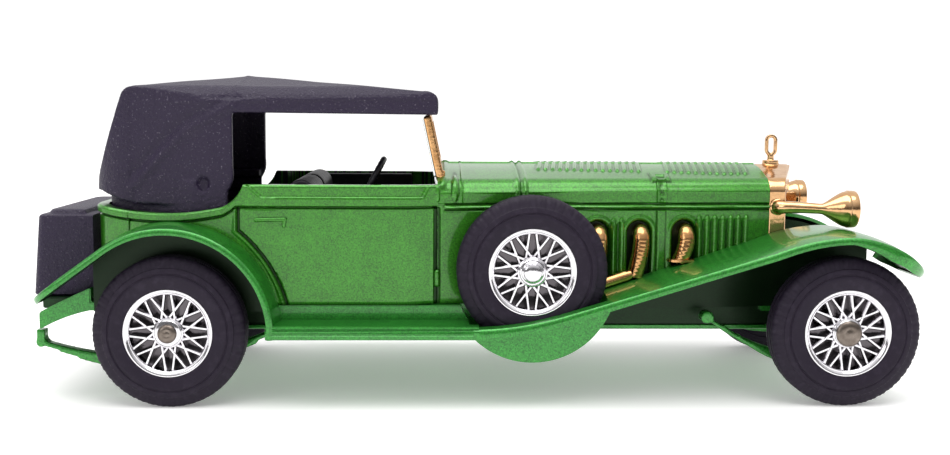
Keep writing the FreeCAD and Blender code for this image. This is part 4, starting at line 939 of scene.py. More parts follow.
def wing_sheet(shell, line, outer_edge, inner_edge, lip_depth):
    """A wing with a crowned top, a rolled and beaded edge, and an underside.

    line is its crown in side view. outer_edge and inner_edge give y, and lip_depth the edge's height, at x."""
    fine = softened(resampled(line, 0.3), 3)
    run = run_length(fine)
    ends = np.array([0.0, 0.07, 0.14, 0.22, 0.3, 0.4, 0.55, 0.8, 1.1, 1.5, 2.0, 2.5])
    where = np.unique(np.concatenate([ends, np.arange(3, run[-1] - 3, 0.33), run[-1] - ends]))
    path = np.column_stack([np.interp(where, run, fine[:, i]) for i in (0, 1)])
    up = side_of(path)
    if up[len(up) // 2][1] < 0:
        up = -up
    x = path[:, 0]
    y0, y1 = outer_edge(x), inner_edge(x)
    reach = np.array([0, 0.07, 0.14, 0.22, 0.3, 0.38, 0.46, 0.56, 0.75, 1.0, 1.4, 1.9, 2.5, 3.2, 4.0, 5.0, 6.0])
    shares = np.concatenate([reach / 7.0, np.linspace(6.4, 7.0, 4) / 7.0])
    y = y0[:, None] + (y1 - y0)[:, None] * shares[None, :]
    s = np.repeat(where[:, None], len(shares), 1)
    border = [(a, b) for a, b in zip(where, y0)]
    border += [(where[-1], b) for b in np.linspace(y0[-1], y1[-1], 12)]
    away = np.abs(distance_to_line(s, y, border))
    crown = np.interp(away, [0, 0.1, 0.22, 0.34, 0.46, 0.58, 1.2, 2.2, 3.4, 5.0],
                      [-0.66, -0.44, -0.34, -0.38, -0.5, -0.46, -0.33, -0.17, -0.06, 0.0])

    def skin(at, across, offset):
        px = np.interp(at, where, path[:, 0])
        pz = np.interp(at, where, path[:, 1])
        nx = np.interp(at, where, up[:, 0])
        nz = np.interp(at, where, up[:, 1])
        return np.stack([px + nx * offset, across, pz + nz * offset], -1)

    top = skin(s, y, crown)
    tuck = 0.42
    span = where[-1] - where[0]
    s_in = where[0] + (s - where[0]) * (span - tuck) / span
    y0_in = np.interp(s_in[:, 0], where, y0) + tuck
    y1_in = np.interp(s_in[:, 0], where, y1)
    y_in = y0_in[:, None] + (y1_in - y0_in)[:, None] * shares[None, :]
    under = skin(s_in, y_in, np.full(s.shape, -0.86))
    depth = lip_depth(np.interp(s[:, 0], where, x))[:, None] * np.ones(s.shape)
    lip_out = skin(s, y, -depth)
    lip_in = skin(s_in, y_in, -depth)

    def loop(grid):
        return np.vstack([grid[:, 0], grid[-1, 1:], grid[-2::-1, -1], grid[0, -2:0:-1]])

    halfway = loop(top) * 0.5 + loop(lip_out) * 0.5
    bands = np.stack([loop(top), halfway, loop(lip_out), loop(lip_in), loop(under)], 0)
    shell.grid(top)
    # The underside and the lip's inner face take painted shade.
    shell.grid(under, painted_shade=np.full(s.shape, 0.8))
    shade = np.array([0, 0, 0, 0.8, 0.8])[:, None] * np.ones(bands.shape[:2])
    shell.grid(bands, wrap_columns=True, painted_shade=shade)


def build_wings(shell):
    """Both sides' wings, running boards, fillets, rear horns and front dumb irons."""
    tip, tail = X_TIP, X_TAIL
    half, nose = HALF_WIDTH, -BONNET_FRONT_HALF
    front_end = np.array(arc_points((tip - 4.5, -half), (tip - 1.3, -half + 1.2), (tip, -half + 4.5), 30))
    front_inner = np.array(arc_points((tip - 2.2, nose - GAP), (tip - 0.7, nose - 0.6), (tip, nose - 2.0), 20))
    tail_end = np.array(arc_points((tail, -half + 3.5), (tail + 1.0, -half + 1.0), (tail + 3.4, -half), 30))

    def front_outer(x):
        return np.interp(x, front_end[:, 0], front_end[:, 1])

    def front_inner_edge(x):
        beside = -bonnet_half(x) - GAP
        beside = np.where(x < X_BONNET, -WELL_INNER, beside)
        return np.where(x > tip - 2.2, np.interp(x, front_inner[:, 0], front_inner[:, 1]), beside)

    def rear_outer(x):
        return np.interp(x, tail_end[:, 0], tail_end[:, 1])

    def rear_lip(x):
        return np.full(np.shape(x), 1.05)

    def rear_inner_edge(x):
        return np.full(np.shape(x), -WELL_INNER)

    def front_lip(x):
        return np.interp(x, [X_BOARD_END, X_RAMP, X_FRONT - 14, X_FRONT, X_FRONT + 5, X_TIP - 1.6, X_TIP],
                         [1.45, 1.3, 1.15, 1.1, 1.9, 1.7, 1.05])

    side = Shell()
    wing_sheet(side, front_wing_line(), front_outer, front_inner_edge, front_lip)
    wing_sheet(side, rear_wing_line(), rear_outer, rear_inner_edge, rear_lip)

    top, low = BOARD, BOARD - BOARD_THICKNESS
    board = [(-WELL_INNER, top), (-half + 0.62, top), (-half + 0.4, top + 0.02), (-half + 0.18, top - 0.08),
             (-half + 0.1, top - 0.26), (-half + 0.24, top - 0.36), (-half + 0.2, top - 0.44),
             (-half + 0.02, top - 0.52), (-half, top - 0.7), (-half + 0.14, top - 0.82),
             (-half + 0.14, top - 0.95), (-half + 0.06, top - 1.05), (-half + 0.06, low + 0.12),
             (-half + 0.2, low), (-WELL_INNER, low)]
    side.prism(board, "yz", X_FOOT - 0.4, X_BOARD_END + 0.6, 0)
    well_start = X_SPARE - WELL_RADIUS + 2.5
    side.prism([(X_FOOT, low), (well_start, low), (well_start, DECK - 0.05), (X_FOOT, DECK - 0.05)], "xz",
               -BODY_HALF + 0.1, -WELL_INNER + 0.5, 0.1)

    rear = X_TUB_REAR
    horn = [(rear + 4, DECK - 0.02), (rear - 0.45, DECK - 0.02), (rear - 0.45, DECK + 1.6)]
    horn += arc_points((rear - 0.45, DECK + 1.6), (rear - 3.1, DECK + 0.4), (rear - 6.3, DECK - 1.2), 14)[1:]
    horn += arc_points((rear - 6.3, DECK - 3.2), (rear - 3.1, DECK - 1.7), (rear - 0.6, DECK - WALL), 14)
    horn += [(rear + 4, DECK - WALL)]
    side.prism(horn, "xz", -WELL_INNER, -10.92, 0.12)

    iron = [(X_RADIATOR - 1.0, DECK - 0.02), (X_RADIATOR + 4.0, DECK - 0.02)]
    iron += arc_points(iron[-1], (X_FRONT + 1.6, DECK - 0.7), (X_FRONT + 5.6, AXLE - 0.3), 14)[1:]
    iron += arc_points((X_FRONT + 4.4, AXLE - 1.1), (X_FRONT + 0.8, DECK - 2.2),
                       (X_RADIATOR + 3.0, DECK - 1.6), 14)
    iron += [(X_RADIATOR - 1.0, DECK - 1.6)]
    side.prism(iron, "xz", nose - 0.92, nose + 0.6, 0.12)
    side.mirror()
    shell.add(np.vstack(side.points), side.faces, np.concatenate(side.painted_shade))


def build_linings(shell):
    """The walls inside the arches, the rails and the deck, which take a dark green as painted shade."""
    side = Shell()
    crown = REAR_ARCH - 0.45
    start = math.degrees(math.asin((DECK - WALL - AXLE) / crown))
    wall = round_points(X_REAR, AXLE, crown, start, ARCH_TURN, 40)
    wall += [(X_TUB_REAR + 0.1, DECK + 5.0), (X_TUB_REAR + 0.1, DECK - WALL)]
    side.prism(wall, "xz", -WELL_INNER - 0.6, -WELL_INNER, 0.05, 0.8)

    xs = np.linspace(X_BONNET, X_FRONT + 5.0, 60)
    line = np.array(front_wing_line())
    high_z = np.interp(xs, line[:, 0], line[:, 1]) - 0.45
    low_z = np.maximum(DECK - WALL, np.interp(xs, [X_RADIATOR + 3, X_TIP - 2], [BOARD - 1.5, BOARD + 2.8]))
    inner_y = -bonnet_half(xs) - GAP
    ring = [np.stack([xs, inner_y, low_z], -1), np.stack([xs, inner_y - 0.8, low_z], -1),
            np.stack([xs, inner_y - 0.8, high_z], -1), np.stack([xs, inner_y, high_z], -1)]
    strip = np.stack(ring, 1)
    side.grid(strip, wrap_columns=True, painted_shade=np.full(strip.shape[:2], 0.7))
    base = side.count - 4 * len(xs)
    side.faces += [[base + i for i in range(4)], [base + 4 * (len(xs) - 1) + i for i in range(4)]]

    rail_end = X_FRONT + 2.4
    side.prism([(X_TUB_REAR + 1, BASE_TOP + 0.1), (rail_end, BASE_TOP + 0.1), (rail_end, DECK - 0.3),
                (X_TUB_REAR + 1, DECK - 0.3)], "xz", -RAIL_HALF, -RAIL_HALF + 1.6, 0.1, 0.5)
    side.mirror()
    shell.add(np.vstack(side.points), side.faces, np.concatenate(side.painted_shade))

    plan = [(X_TUB_REAR, -WELL_INNER - 0.2), (X_BONNET, -WELL_INNER - 0.2),
            (X_RADIATOR, -BONNET_FRONT_HALF - 0.52), (rail_end, -BONNET_FRONT_HALF - 0.52)]
    shell.prism(plan + [(x, -y) for x, y in reversed(plan)], "xy", DECK - WALL, DECK - 0.02, 0.1)
    shelf, shelf_rear, shelf_front = WELL_INNER - 0.5, TRUNK_LOW[0] + 1.6, X_TUB_REAR - 0.45
    shell.prism([(shelf_rear, -shelf), (shelf_front, -shelf), (shelf_front, shelf), (shelf_rear, shelf)],
                "xy", DECK - 0.8, TRUNK_LOW[2], 0.12)


def well_ring(shell, side):
    """The round pocket below the wing that the spare tyre stands in."""
    sweep = np.radians(np.linspace(168, 378, 64))
    line = np.array(front_wing_line())
    outer, inner = side * WELL_OUTER, side * WELL_INNER
    rings = []
    for turn in sweep:
        x = X_SPARE + WELL_RADIUS * math.cos(turn)
        z = WELL_HEIGHT + WELL_RADIUS * math.sin(turn)
        roof = np.interp(x, line[:, 0], line[:, 1], left=BOARD) - 0.7
        rings.append((x, min(z, roof), roof))
    rings = [r for r in rings if r[1] < r[2] - 0.02]
    outline = [(x, z) for x, z, _ in rings]
    xs = np.linspace(outline[-1][0], outline[0][0], 24)[1:-1]
    top = [(x, float(np.interp(x, line[:, 0], line[:, 1], left=BOARD)) - 0.7) for x in xs]
    low, high = sorted((outer, inner))
    shell.prism(outline + top, "xz", low, high, 0.12)


# ---- wheels, tyres and axles ----------------------------------------------------------------------------
def tyre_skin(shell, x, z, face, side):
    """A tyre with stepped shoulders, notched tread blocks, sidewall rings and two tread grooves."""
    sizes = bpy.context.scene.tourer_sizes
    inner = face - TYRE_WIDTH
    r = TYRE_RADIUS
    half = [(0.52, 4.75), (0.3, 4.82), (0.16, 5.0), (0.1, 5.3), (0.04, 5.75), (0.0, 6.1), (0.0, 6.3),
            (0.05, 6.44), (0.13, 6.5), (0.13, 6.6), (0.04, 6.68), (0.06, 6.95), (0.16, 7.2), (0.26, 7.26),
            (0.3, 7.34), (0.42, 7.7), (0.56, 8.05), (0.72, 8.26), (0.9, 8.4), (1.1, r)]
    outer = [(face - y, radius) for y, radius in half]
    tread = []
    centre = (face + inner) / 2
    for place_y in (centre + 0.5, centre - 0.5):
        tread += [(place_y + 0.19, r), (place_y + 0.15, r - 0.28), (place_y - 0.15, r - 0.28),
                  (place_y - 0.19, r)]
    back = [(inner + y, radius) for y, radius in reversed(half)]
    profile = np.array(outer + tread + back)
    weight = np.concatenate([[0] * 13, [0.3, 0.8, 1, 1, 0.9, 0.6, 0.25]])
    weight = np.concatenate([weight, np.zeros(len(tread)), weight[::-1]])
    blocks = int(sizes.tyre_blocks)
    segments = blocks * 6
    turn = np.arange(segments) % 6
    notch = np.where((turn == 0) | (turn == 1), 1.0, 0.0)
    other = np.where((turn == 3), 0.5, 0.0)
    shift = -(notch + other)[:, None] * weight[None, :] * 0.13
    profile[:, 0] *= side
    shell.lathe(profile, (x, 0, z), 1, segments, shift)


SPOKE_PAIRS = 12
SPOKE_RIM_RADIUS, SPOKE_HUB_RADIUS = 4.32, 1.5
SPOKE_RIM_LEAN, SPOKE_HUB_LEAN = 5.0, 31.0


def wheel_skin(shell, x, z, face, side, hub_end, bore):
    """A plated wire-spoke wheel: beaded rim, a web, a lattice of crossing spokes and a stepped hub."""
    sizes = bpy.context.scene.tourer_sizes
    rim = [(3.7, 4.75), (3.7, 4.2), (0.95, 4.2), (0.75, 4.2), (0.5, 4.24), (0.36, 4.3), (0.3, 4.38),
           (0.3, 4.46), (0.22, 4.54), (0.14, 4.66), (0.1, 4.78), (0.12, 4.88), (0.2, 4.94), (0.33, 4.94),
           (0.45, 4.84), (0.6, 4.76)]
    hub = [(face - hub_end, bore), (face - hub_end, 1.5), (1.4, 1.52), (1.15, 1.6), (0.95, 1.72), (0.6, 1.75),
           (0.4, 1.66), (0.3, 1.5), (0.22, 1.48), (0.14, 1.4), (0.06, 1.1), (0.04, bore)]
    web = [(2.2, bore), (2.2, 4.35), (1.45, 4.35), (1.68, 3.9), (1.72, 2.2), (1.6, 1.2), (1.6, bore)]
    # The web behind the spokes is darkened as painted shade.
    for profile, deep in ((rim, 0.0), (hub, 0.0), (web, 0.9)):
        turned = [(side * (face - sunk), radius) for sunk, radius in profile]
        shell.lathe(turned, (x, 0, z), 1, 96, painted_shade=deep)
    half = sizes.spoke * 1000 / 2
    for number in range(SPOKE_PAIRS):
        angle = 90 + 360 / SPOKE_PAIRS * number
        for lean, lift in ((-1, 0.0), (1, -0.06)):
            rim_turn = math.radians(angle + SPOKE_RIM_LEAN * lean)
            hub_turn = math.radians(angle + SPOKE_HUB_LEAN * lean)
            start = SPOKE_RIM_RADIUS * np.array([math.cos(rim_turn), math.sin(rim_turn)])
            end = SPOKE_HUB_RADIUS * np.array([math.cos(hub_turn), math.sin(hub_turn)])
            way = (end - start) / np.linalg.norm(end - start)
            cross = np.array([-way[1], way[0]])
            rings = []
            for share in (0, 0.12, 0.5, 0.88, 1):
                spot = start + (end - start) * share
                front = face - 0.52 - 0.05 * math.sin(share * math.pi) + lift
                wide = half * (1.1 if share in (0, 1) else 1.0)
                section = [(-wide, front - 1.2), (-wide, front - 0.16), (-wide * 0.5, front),
                           (wide * 0.5, front), (wide, front - 0.16), (wide, front - 1.2)]
                rings.append([(spot[0] + cross[0] * a + x, side * b, spot[1] + cross[1] * a + z)
                              for a, b in section])
            # Painted shade on the spokes' sides, darkest at the back.
            depth = np.tile([0.9, 0.25, 0.0, 0.0, 0.25, 0.9], (len(rings), 1))
            shell.grid(np.array(rings), wrap_columns=True, painted_shade=depth)
            base = shell.count - 30
            shell.faces += [[base + i for i in range(6)], [base + 24 + i for i in range(6)]]


def axle_skin(shell, x, radius, head):
    """An axle with a spun head at each end."""
    reach, height = WHEEL_FACE + 0.05, 0.45
    profile = []
    for side in (-1, 1):
        dome = [(reach + height, 0), (reach + height, 0.22 * head), (reach + height - 0.06, 0.32 * head),
                (reach + height - 0.04, 0.45 * head), (reach + height - 0.05, 0.62 * head),
                (reach + height - 0.12, 0.8 * head), (reach + height - 0.24, 0.95 * head),
                (reach + 0.1, head), (reach, head), (reach, radius)]
        points = [(side * along, r) for along, r in dome]
        profile += points if side < 0 else points[::-1]
    shell.lathe(profile, (x, 0, AXLE), 1, 64)


# ---- bright pieces --------------------------------------------------------------------------------------
def lamp_skin(shell, side):
    """A bell headlamp on a swept stay that grows out of a boss on the radiator."""
    x_bell, x_rim = X_FRONT - 1.0, X_FRONT + 2.95
    radius = 2.2
    bell = [(x_bell + a, r) for a, r in (
        (-0.3, 0), (-0.3, 0.5), (0.15, 0.66), (0.7, 0.98), (1.4, 1.44), (2.1, 1.86), (2.5, 2.04), (2.75, 2.1),
        (2.85, 2.08), (2.95, radius), (3.3, radius))]
    bell += [(x_rim - a, r) for a, r in (
        (0.2, radius - 0.02), (0.06, radius - 0.1), (0, radius - 0.24), (0.05, radius - 0.36),
        (0.2, radius - 0.42), (0.16, 1.2), (0.1, 0.5), (0.08, 0))]
    shell.lathe(bell, (0, side * LAMP_SPREAD, LAMP_HEIGHT), 0, 72)
    root = X_RADIATOR + 1.0
    wall = BONNET_FRONT_HALF
    bend = [(a, side * b, LAMP_HEIGHT + c) for a, b, c in (
        (root, wall - 0.2, 0.05), (root, wall + 0.35, 0.05), (root + 0.35, wall + 0.85, 0.08),
        (root + 1.2, wall + 1.25, 0.12), (root + 2.6, wall + 1.6, 0.1),
        (x_bell - 0.6, LAMP_SPREAD - 0.15, 0.04), (x_bell + 0.3, LAMP_SPREAD, 0))]
    path = softened(resampled(bend, 0.2), 2)
    share = np.linspace(0, 1, len(path))
    radii = np.interp(share, [0, 0.12, 0.25, 0.6, 0.9, 1], [0.95, 0.86, 0.74, 0.66, 0.62, 0.66])
    shell.tube(path, radii, 28)
    boss = [(0.1, 0), (0.1, 0.95), (0.3, 0.98), (0.42, 0.86), (0.5, 0.5), (0.5, 0)]
    shell.lathe([(side * (wall + a), r) for a, r in boss], (root, 0, LAMP_HEIGHT + 0.05), 1, 40)


def pipe_skins(shell):
    """Three pipes with a very faint rib, the collector under the rear two and the front one's foot ring."""
    sizes = bpy.context.scene.tourer_sizes
    rib = sizes.pipe_rib * 1000
    feet = []
    lean, elbow = -0.75, 1.1
    radius, rib_height, belly = 0.93, 0.008, 0.05
    for x in PIPE_STATIONS:
        wall = -float(bonnet_half(x))
        stand = wall - 0.8
        foot = float(wing_top(x)) + 0.15
        mouth_x, mouth_z = x + 0.12, PIPE_LEVEL + 0.1
        bend = [(mouth_x, wall + 0.55, mouth_z)]
        bend += [(mouth_x, stand + elbow * (1 - math.sin(t)), mouth_z - elbow * (1 - math.cos(t)))
                 for t in np.linspace(0, math.pi / 2, 10)]
        bottom = bend[-1][2]
        bend += [(mouth_x + lean * s ** 1.4, stand - 0.12 * math.sin(s * math.pi), bottom + (foot - bottom) * s)
                 for s in np.linspace(0, 1, 12)[1:]]
        path = resampled(bend, rib / 6)
        run = run_length(path)
        ribs = rib_height * np.cos(run / rib * 2 * math.pi)
        shell.tube(path, radius + ribs + belly * np.sin(np.clip(run / run[-1], 0, 1) * math.pi), 32)
        feet.append((x + lean, stand - 0.25, foot + 0.3))
    rear = (feet[0][0] - 2.6, feet[0][1] - 0.25, feet[0][2] - 0.6)
    tail = (rear[0] - 1.0, rear[1], rear[2] - 0.25)
    line = softened(resampled([tail, rear] + feet[:2], 0.15), 4)
    last = len(line) - 1
    shell.tube(line, np.interp(np.arange(len(line)), [0, last - 7, last], [0.68, 0.68, 0.5]), 24)
    x, y, z = feet[2]
    ring = round_points(0, 0, 1.35, 0, 360, 28)[:-1]
    shell.prism([(x + 0.2 + 1.25 * a, y + 0.1 + 0.8 * b) for a, b in ring], "xy", z - 0.3, z - 0.02, 0.06)


def build_steering(shell):
    """A thin-rimmed wheel with four flat spokes on a short boss, square to the raked column."""
    rake, rim_radius, grip_radius = math.radians(28), 3.65, 0.34
    axis = np.array([math.cos(rake), 0, -math.sin(rake)])
    across = np.array([0.0, 1.0, 0.0])
    up = np.cross(axis, across)
    if up[2] < 0:
        up = -up
    centre = WHEEL_CENTRE
    turns = np.linspace(0, 2 * math.pi, 97)[:-1]
    rings = []
    for turn in turns:
        way = across * math.cos(turn) + up * math.sin(turn)
        tube = []
        for around in np.linspace(0, 2 * math.pi, 17)[:-1]:
            grip = grip_radius + 0.02 * math.cos(turn * 24)
            tube.append(centre + way * (rim_radius + grip * math.cos(around)) + axis * grip * math.sin(around))
        rings.append(tube)
    shell.grid(np.array(rings), wrap_rows=True, wrap_columns=True)
    for angle in (45, 135, 225, 315):
        turn = math.radians(angle)
        way = across * math.cos(turn) + up * math.sin(turn)
        shell.tube([centre + way * reach + axis * (0.25 - 0.07 * reach) for reach in (0.3, 1.2, 2.4, 3.6)],
                   [0.34, 0.26, 0.22, 0.26], 14)
    shell.tube([centre - axis * 0.32, centre - axis * 0.26, centre - axis * 0.1, centre + axis * 0.4],
               [0.35, 0.7, 0.86, 0.86], 28)


# ---- cabin, hood and trunk ------------------------------------------------------------------------------
def seat_pleats(x, y, z, normals):
    """Soft pleats over the seats' backs and cushions, and none on the door linings."""
    seats = (z > DECK + 4.5) * (np.abs(y) < 11.2) * (normals[:, 2] ** 2 + normals[:, 0] ** 2 > 0.5)
    return 0.12 * (np.abs(np.sin(y / 1.25 * math.pi)) ** 0.6 - 0.6) * seats


def hood_folds(x, y, z, normals):
    """The moulded folds of the hood: a slanting crease on each quarter, seams over the roof and a hem."""
    sizes = bpy.context.scene.tourer_sizes
    height = sizes.fold * 1000
    outward = np.sign(y) * normals[:, 1]
    flank = smooth(0.3, 0.7, outward) * (np.abs(y) > 9)
    fold = distance_to_line(x, z, [(X_REAR + 6.4, TUB_RIM + 12.1), (X_REAR + 1.0, TUB_RIM + 9.0),
                                   (X_REAR - 5.2, TUB_RIM + 2.6)])
    along = smooth(X_REAR - 7.0, X_REAR - 3.0, x)
    lift = height * (np.exp(-(fold / 0.55) ** 2) - 0.8 * np.exp(-((fold + 0.95) / 0.5) ** 2)) * flank * along
    gutter = HOOD_TOP - 3.15 + 0.02 * (x - X_REAR)
    lift += 0.09 * ridge(z, gutter, 0.5) * flank * smooth(X_REAR - 3, X_REAR, x)
    roof = smooth(0.5, 0.8, normals[:, 2])
    for seam in (X_REAR - 8.6, X_REAR + 6.9):
        lift += 0.07 * ridge(x, seam, 0.7) * roof
    slack = np.sin(y * 0.55 + 0.7) * np.sin(x * 0.35) * 0.05
    return lift + (slack - 0.09) * roof


def build_trunk(shell):
    """A plain luggage trunk with a stepped top, drawn as stacked outlines with round rear corners."""
    bottom, top = TRUNK_LOW[2], TRUNK_HIGH[2]
    rear, front, half = TRUNK_LOW[0], TRUNK_HIGH[0], TRUNK_HIGH[1]
    levels = [(bottom, 0.5, 0.9), (bottom + 0.06, 0.3, 1.0), (bottom + 0.25, 0.1, 1.0)]
    levels += [(top - down, inset, corner) for down, inset, corner in (
        (0.95, 0.1, 1.0), (0.72, 0.16, 1.0), (0.6, 0.32, 1.0), (0.56, 0.8, 1.0), (0.5, 0.95, 1.0),
        (0.3, 1.05, 1.2), (0.1, 1.2, 1.2), (0.02, 1.5, 1.2), (0, 2.0, 1.0))]
    rings = []
    for z, inset, corner in levels:
        back = rear + 0.8 * (z - bottom) / (top - bottom) + inset
        w = half - inset
        loop = [(back + corner * (1 - math.cos(t)), -w + corner * (1 - math.sin(t)))
                for t in np.linspace(0, math.pi / 2, 9)]
        loop += [(front - (inset if z > top - 0.6 else 0.0), -w)]
        loop = loop + [(a, -b) for a, b in reversed(loop)]
        rings.append([(a, b, z) for a, b in loop])
    count = len(rings[0])
    shell.grid(np.array(rings), wrap_columns=True)
    base = shell.count - count * len(rings)
    shell.faces += [[base + i for i in range(count)], [shell.count - count + i for i in range(count)]]


# ---- settings -------------------------------------------------------------------------------------------
class TourerSizes(bpy.types.PropertyGroup):
    """Sizes of the fine detail."""

    flake: bpy.props.FloatProperty(
        name="Paint flake", description="Width of a metal flake in the paint, drawn coarse enough to show",
        default=0.00014, unit="LENGTH")
    belt_band: bpy.props.FloatProperty(
        name="Belt band", description="How far the belt band stands out from the doors",
        default=0.00028, unit="LENGTH")
    louvre_pitch: bpy.props.FloatProperty(
        name="Louvre pitch", description="Distance between the bonnet's top louvres",
        default=0.00086, unit="LENGTH")
    louvre_height: bpy.props.FloatProperty(
        name="Louvre height", description="Height of the bonnet's top louvres",
        default=0.00026, unit="LENGTH")
    spoke: bpy.props.FloatProperty(
        name="Spoke width", description="Width of a wheel spoke", default=0.00038, unit="LENGTH")
    tyre_blocks: bpy.props.IntProperty(
        name="Tyre blocks", description="Number of tread blocks round a tyre's shoulder", default=46)
    pipe_rib: bpy.props.FloatProperty(
        name="Pipe rib", description="Distance between the faint ribs of an exhaust pipe",
        default=0.00045, unit="LENGTH")
    fold: bpy.props.FloatProperty(
        name="Hood fold", description="Height of the crease on the hood's quarters",
        default=0.00024, unit="LENGTH")


def colour_setting(name, description, code):
    """A colour setting with an sRGB hex default."""
    return bpy.props.FloatVectorProperty(name=name, description=description, subtype="COLOR", size=3,
                                         min=0.0, max=1.0, default=linear(code))


class TourerColours(bpy.types.PropertyGroup):
    """Colours of the finishes."""

    lime: colour_setting("Body light", "Bright flakes of the body paint", "#439F1F")
    lime_deep: colour_setting("Body deep", "Ground colour of the body paint", "#17480A")
    emerald: colour_setting("Wing light", "Bright flakes of the wing paint", "#3CA63A")
    emerald_deep: colour_setting("Wing deep", "Ground colour of the wing paint", "#0E5217")
    # The colour mixed in as painted shade in shut lines, grooves, undersides and inner walls.
    hollow_painted_shade: colour_setting("Hollows", "Paint in shut lines and grooves", "#0A1F08")
    gold: colour_setting("Gold", "Gold plating", "#E9C396")
    bronze: colour_setting("Worn gold", "Gold plating where it has dulled", "#E6B883")
    chrome: colour_setting("Chrome", "Chrome plating", "#F1EFF2")
    hood: colour_setting("Hood", "Grained plastic of the hood and trunk", "#221731")
    cabin: colour_setting("Cabin", "Plastic of the cabin", "#1D1922")
    rubber: colour_setting("Tyres", "Rubber of the tyres", "#1A1022")


# ---- operators ------------------------------------------------------------------------------------------
SIDES = (("right", -1), ("left", 1))
CAST_SHARP, WHEEL_SHARP = 60, 30
SCREEN_FRAME_SWELL = 0.11
AXLE_RADIUS = 0.75

# The lights: name, place and size in metres, and power in watts.
LIGHTS = (("overhead", (-0.05, -0.1, 0.55), (0.7, 0.4), 2.7),
          ("left_front", (-0.5, -0.45, 0.3), (0.3, 0.3), 0.6))
LIGHT_TARGET = (0, 0, 0.015)
FLOOR_HALF = 8
DIM_SURROUND, BRIGHT_SURROUND = 0.14, 1.05
CAMERA_PLACE = (-0.004537, -0.147276, 0.033751)
CAMERA_TURNS = (1.844, 5.941, 0.348)


class TOURER_OT_body(bpy.types.Operator):
    """Builds the body casting: the tub with its doors, and the scuttle and bonnet"""
    bl_idname = "tourer.body"
    bl_label = "Body casting"

    def execute(self, context):
        tub, bonnet, rivets = Shell(), Shell(), Shell()
        build_tub(tub)
        build_door_furniture(tub)
        place("body_tub", tub, "body_shell", "lime")
        build_bonnet(bonnet)
        place("body_bonnet", bonnet, "body_shell", "lime")
        build_rivets(rivets)
        place("body_rivets", rivets, "body_shell", "lime")
        return {"FINISHED"}


class TOURER_OT_wings(bpy.types.Operator):
    """Builds the chassis casting: wings, running boards, wheel wells, horns and shelf"""
    bl_idname = "tourer.wings"
    bl_label = "Chassis and wings"

    def execute(self, context):
        wings = Shell()
        build_wings(wings)
        for side in (-1, 1):
            well_ring(wings, side)
        way = Shell()
        for side in (-1, 1):
            face, back = side * (SPARE_FACE + 0.15), side * (SPARE_FACE - TYRE_WIDTH - 0.15)
            for radius, level in ((TYRE_RADIUS + 0.25, SPARE_HEIGHT), (WELL_RADIUS - 0.6, WELL_HEIGHT)):
                way.lathe([(back, 0), (back, radius), (face, radius), (face, 0)], (X_SPARE, 0, level), 1, 96)
        cutter = bpy.data.objects.new("tyre_way", way.mesh("tyre_way"))
        bpy.context.scene.collection.objects.link(cutter)
        mesh = settled_mesh(wings.mesh("wings"), [
            ("BOOLEAN", {"operation": "DIFFERENCE", "object": cutter, "solver": "EXACT", "use_self": True})])
        bpy.data.objects.remove(cutter)
        place("chassis_and_wings", mesh, "chassis_wings", "emerald")
        linings = Shell()
        build_linings(linings)
        # The linings' dark green is painted shade inside the arches.
        place("arch_linings", linings, "chassis_wings", "emerald_painted_shade")
        return {"FINISHED"}


class TOURER_OT_base(bpy.types.Operator):
    """Builds the base casting with its springs and shackles"""
    bl_idname = "tourer.base"
    bl_label = "Base casting"

    def execute(self, context):
        place("base_casting", cast_copy("base_plate", grid_mm=0.2, rounds=2), "base_plate", "emerald",
              sharp=CAST_SHARP)
        return {"FINISHED"}


class TOURER_OT_bright(bpy.types.Operator):
    """Builds the gold pieces: radiator, headlamps, exhaust pipes and windscreen frame"""
    bl_idname = "tourer.bright"
    bl_label = "Bright pieces"

    def execute(self, context):
        place("radiator", cast_copy("radiator_shell", grid_mm=0.085, rounds=2), "radiator_shell", "gold",
              sharp=CAST_SHARP)
        for name, side in SIDES:
            lamp = Shell()
            lamp_skin(lamp, side)
            place("lamp_" + name, lamp, "headlamp_" + name, "gold")
        pipes = Shell()
        pipe_skins(pipes)
        place("flexible_exhaust", pipes, "exhaust_pipes", "bronze")
        screen = pushed(cast_copy("windscreen_frame", grid_mm=0.09, rounds=2),
                        lambda x, y, z, normals: np.full(x.shape, SCREEN_FRAME_SWELL))
        place("screen_frame", screen, "windscreen_frame", "bronze", sharp=CAST_SHARP)
        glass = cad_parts["windscreen_glass"]
        glass.data.materials.clear()
        glass.data.materials.append(finish("clear"))
        return {"FINISHED"}


class TOURER_OT_cabin(bpy.types.Operator):
    """Builds the cabin: seats and linings, dashboard and steering wheel"""
    bl_idname = "tourer.cabin"
    bl_label = "Cabin"

    def execute(self, context):
        seats = pushed(cast_copy("interior_tub", grid_mm=0.17, rounds=4), seat_pleats)
        place("seats_and_linings", seats, "interior_tub", "cabin", sharp=CAST_SHARP)
        place("dash_panel", cast_copy("dashboard", grid_mm=0.12, rounds=2), "dashboard", "cabin",
              sharp=CAST_SHARP)
        wheel = Shell()
        build_steering(wheel)
        place("wheel_rim_and_spokes", wheel, "steering_wheel", "cabin")
        return {"FINISHED"}


class TOURER_OT_hood(bpy.types.Operator):
    """Builds the raised hood"""
    bl_idname = "tourer.hood"
    bl_label = "Hood"

    def execute(self, context):
        hood = pushed(cast_copy("hood_top", grid_mm=0.19, rounds=5), hood_folds)
        place("raised_hood", hood, "hood_top", "hood", sharp=55)
        return {"FINISHED"}


class TOURER_OT_trunk(bpy.types.Operator):
    """Builds the luggage trunk"""
    bl_idname = "tourer.trunk"
    bl_label = "Luggage trunk"

    def execute(self, context):
        trunk = Shell()
        build_trunk(trunk)
        place("trunk", trunk, "luggage_trunk", "hood", slot="black_plastic")
        return {"FINISHED"}


